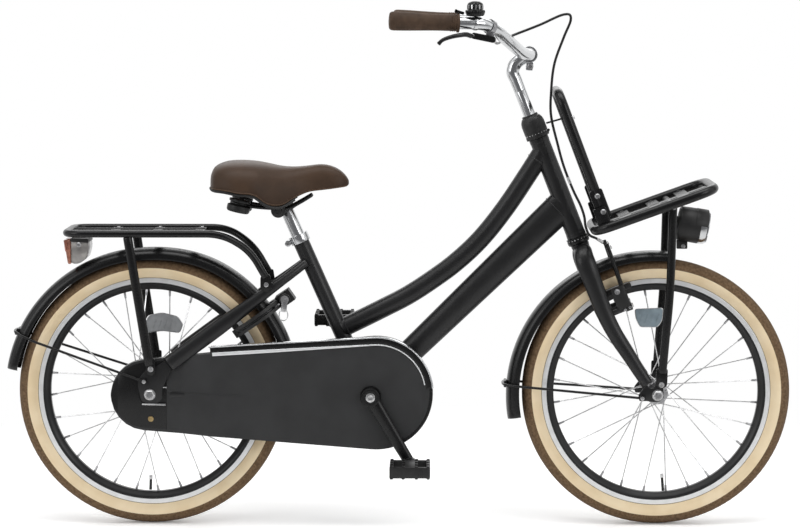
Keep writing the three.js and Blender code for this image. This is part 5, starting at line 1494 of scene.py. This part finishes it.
def case_loft(start, stop, material, corner):
    """A thin bowl, open towards the wheel, made of upright sections from start to stop."""
    outline = belt(0.2, 200)
    middle, half = (start + stop) / 2, (stop - start) / 2
    rings = []
    for i in range(CASE_STEPS + 1):
        x = middle - half * math.cos(math.pi * i / CASE_STEPS)
        low, high = heights_at(x, outline)
        front = face_at(x)
        r = min(corner, (high - low) * 0.3)
        outer = [(CASE_BACK, low), (front + r, low), (front + r * 0.3, low + r * 0.3), (front, low + r)]
        outer += [(y, low + high - z) for y, z in reversed(outer)]
        inner = []
        for y, z in reversed(outer):
            wall = CASE_WALL if z < (low + high) / 2 else -CASE_WALL
            inner.append((min(y + CASE_WALL, CASE_BACK), z + wall * r / corner))
        rings.append([(x, y, z) for y, z in outer + inner])
    return skin(rings, material, capped=False)


dressed("chaincase", case_panel, 0.5)
case = [case_loft(CAP_FRONT, CASE_FRONT[0] + CASE_FRONT_R + 0.15, case_panel, 2.5),
        case_loft(CASE_REAR[0] - CASE_REAR_R - 0.15, CAP_FRONT - 0.4, gloss_black, 7)]
ridge = [(-417, -54.5, 254), (STEP_REAR, -54.5, 253.5), (STEP_FRONT, -64.8, 251.6), (-292, -64.8, 250.2)]
case.append(tube(ridge, 0.6, case_panel, 8, soft=0.3))
recess = [(20, -0.4), (19.4, 0.9), (18, 0.9), (16.6, -0.3), (0, -0.3)]
case.append(turned(recess, (BRACKET[0], CASE_FACE - 0.2, BRACKET[2]), (0, -1, 0), gloss_black, 56, False))
for degrees in (-150, -118, -96, -75, -52):
    angle = math.radians(degrees)
    case.append(block(wheel_point(CASE_CENTRE, 103, angle, -58), (7, 9, 2.6), black_plastic,
                      math.pi / 2 - angle, 0.5, 0.8))
lip = [wheel_point(CASE_CENTRE, 101.6, math.radians(degrees), CASE_FACE - 0.2)
       for degrees in range(6, -72, -2)]
case.append(tube(lip, lambda t: (3.2, 0.7), gloss_black, 12, upright=True, soft=0.5))
axle_cap = rounded([(0, 0), (24, 0), (24, 0.5), (21, 0.6), (20, 0.2), (0, 0.2)], 0.2, 3, False)
case.append(turned(axle_cap, (-460, CASE_REAR_FACE, 250), (0, -1, 0), gloss_black, 56, False))
case += hex_bolt((-459, CASE_REAR_FACE, 203.6), (0, -1, 0), 4.6, 2.8, yellow_zinc)
case.append(block((-452.6, -60.4, 232), (44, 1.6, 3.4), zinc, 0.02, 0.4, 0.8))
case.append(block((-435.3, -55.4, 263.3), (14, 1.8, 2.6), zinc, 0.02, 0.4, 0.8))
piece("chain_case_shell", case, (), node_body["chaincase"])

# %% Bright lines on the chain case
def top_edge(grow, y, x_start):
    line = [(x, y, z) for x, z in belt(grow) if z > 262 and x > x_start]
    line.sort(key=lambda p: (p[0] > CASE_FRONT[0] + 30, p[0] if p[0] <= CASE_FRONT[0] + 30 else -p[2]))
    first = line[0]
    slope = (line[1][2] - first[2]) / (line[1][0] - first[0])
    return even([(x_start, y, first[2] - (first[0] - x_start) * slope)] + line, 120)


trim = [tube(top_edge(1.3, -60, -345), lambda t: (0.9, 5.6), chrome, 14, upright=True, soft=0.6),
        tube(top_edge(0.2, -65.0, -350), lambda t: (1.3, 1.0), chrome, 12, upright=True, soft=0.4),
        tube(top_edge(-6.2, -64.8, -347), lambda t: (5.4, 0.7), gloss_black, 12, upright=True, soft=0.3),
        tube(top_edge(-13.4, -65.1, -343), lambda t: (3.2 - 2.1 * eased(t, 0.1, 0.85), 1.0), rim_metal, 14,
             upright=True, soft=0.4)]
piece("chain_case_bright_lines", trim, "chaincase_trim")

# %% [markdown]
# The chain, the chainring and the sprocket are hidden in the case. They still turn, so they
# keep their solids' shapes and get an oiled steel finish.

# %% Hidden drive parts and the left side
oiled = finish("oiled_steel", (0.12, 0.11, 0.1), (0.24, 0.23, 0.21), (0.25, 0.45), 1.0, 90, 900, 0.05)
for node in ("chain", "chainring", "rear_sprocket"):
    dressed(node, oiled, 0.3)
dressed("coaster_brake_arm", dull_steel, 0.5)
STAND = np.array([-140, 58, 224.0])
stand_axis = unit((0, -0.907, -0.42))
elbow, foot = np.array([-190, 60, 224.0]), np.array([-376, 66, 226.0])
stand = [lathe([(0, -5), (9, -5), (9, 7), (0, 7)], 1.2, STAND, stand_axis, gloss_black, 32, False),
         tube(bent_line([STAND, elbow, foot, foot - (12, 0, 0)], 14), lambda t: (6.4 - 0.9 * t,) * 2,
              gloss_black, 22),
         rod(foot + (1, 0, 0), foot - (12, 0, 0), 8.5, black_plastic, 24, soft=1.6)]
stand += hex_bolt(STAND - stand_axis * 5, -stand_axis, 6, 3.4)
piece("kickstand_leg", stand, "kickstand")

# %% [markdown]
# ## Floor and light
# The floor is plain and nearly white. Seen by the camera or in a reflection it mixes towards
# pure white with distance, so that it has no visible end, and near the wheels it keeps the
# bicycle's soft shadow. The camera sees it over a third brighter than it lights the bicycle.
# Large soft lamps stand above and to both sides: on black paint the shape shows only by what
# is reflected, so the lamps are long, to draw long highlights.

# %% Floor
DIM_SIDE = (0.16, 0.16, 0.165)
FLOOR_LIT, FLOOR_SEEN = (0.94, 0.94, 0.94, 1), (1.3, 1.3, 1.3, 1)
FLOOR_HALF = 14.0


def dimmed_in_mirrors(tree, towards_front):
    """White, but in reflections dim towards the front of the studio, where no lamp stands."""
    glossy_ray = add_node(tree, "LightPath").outputs["Is Glossy Ray"]
    return blended(tree, glossy_ray, (1, 1, 1, 1), towards_front)


def background_rays(tree):
    """1 where the ray comes from the camera, a mirror or glass."""
    rays = add_node(tree, "LightPath").outputs
    total = rays["Is Camera Ray"]
    for name in ("Is Glossy Ray", "Is Transmission Ray"):
        total = add_node(tree, "Math", {0: total, 1: rays[name]}, operation="MAXIMUM").outputs["Value"]
    return total


floor_paint = bpy.data.materials.new("floor_white")
floor_paint.use_nodes = True
tree = floor_paint.node_tree
camera_ray = add_node(tree, "LightPath").outputs["Is Camera Ray"]
shader = wire(tree, tree.nodes["Principled BSDF"], {
    "Base Color": blended(tree, camera_ray, FLOOR_LIT, FLOOR_SEEN), "Roughness": 0.9,
    "Specular IOR Level": 0.1})
place = add_node(tree, "TexCoord").outputs["Object"]
towards_back = add_node(tree, "SeparateXYZ", {"Vector": place}).outputs["Y"]
floor_tone = ramp_from(tree, remapped(tree, towards_back, -2.2, -0.3), DIM_SIDE, (0.9, 0.9, 0.9), 0.0, 1.0)
glow = add_node(tree, "Emission", {"Color": dimmed_in_mirrors(tree, floor_tone)})
reach = add_node(tree, "VectorMath", {0: place}, operation="LENGTH").outputs["Value"]
far = remapped(tree, reach, 0.6, 1.5, 0.1, 1.0)
share = add_node(tree, "Math", {0: far, 1: background_rays(tree)}, operation="MULTIPLY").outputs["Value"]
mix = add_node(tree, "MixShader", {0: share, 1: shader.outputs["BSDF"], 2: glow.outputs["Emission"]})
wire(tree, tree.nodes["Material Output"], {"Surface": mix.outputs["Shader"]})
floor_mesh = bpy.data.meshes.new("floor")
corners = [(x * FLOOR_HALF, y * FLOOR_HALF, 0) for x, y in ((-1, -1), (1, -1), (1, 1), (-1, 1))]
floor_mesh.from_pydata(corners, [], [(0, 1, 2, 3)])
floor_mesh.materials.append(floor_paint)
floor = bpy.data.objects.new("floor", floor_mesh)
floor.location.z = -0.0005
scene.collection.objects.link(floor)

# %% World and lamps
world = bpy.data.worlds.new("studio")
scene.world = world
world.use_nodes = True
tree = world.node_tree
ambient = wire(tree, tree.nodes["Background"], {"Color": (1, 1, 1, 1), "Strength": 0.55})
way = add_node(tree, "TexCoord").outputs["Generated"]
towards_back = add_node(tree, "SeparateXYZ", {"Vector": way}).outputs["Y"]
sky_tone = ramp_from(tree, remapped(tree, towards_back, -1.0, 1.0), DIM_SIDE, (1, 1, 1), 0.12, 0.4)
for position, grey in ((0.54, 1.0), (0.62, 0.22), (0.7, 0.22), (0.8, 1.0)):
    sky_tone.node.color_ramp.elements.new(position).color = (grey, grey, grey, 1)
white = add_node(tree, "Background", {"Color": dimmed_in_mirrors(tree, sky_tone), "Strength": 1.0})
mix = add_node(tree, "MixShader", {0: background_rays(tree), 1: ambient.outputs["Background"],
                                   2: white.outputs["Background"]})
wire(tree, tree.nodes["World Output"], {"Surface": mix.outputs["Shader"]})


def lamp(name, place_at, aim_at, size, watts):
    data = bpy.data.lights.new(name, "AREA")
    data.shape = "RECTANGLE"
    data.size, data.size_y = size
    data.energy = watts
    item = bpy.data.objects.new(name, data)
    item.location = place_at
    item.rotation_euler = (Vector(aim_at) - Vector(place_at)).to_track_quat("-Z", "Y").to_euler()
    scene.collection.objects.link(item)


lamp("lamp_above", (0, -0.6, 3.2), (0, 0, 0.4), (3.4, 1.6), 46)
lamp("lamp_right", (2.6, -2.8, 1.8), (0.1, 0, 0.5), (1.6, 1.8), 26)
lamp("lamp_left", (-2.8, -2.4, 1.6), (-0.1, 0, 0.4), (1.4, 1.8), 20)
lamp("lamp_behind", (0, 3.0, 2.4), (0, 0, 0.4), (3.0, 1.6), 26)
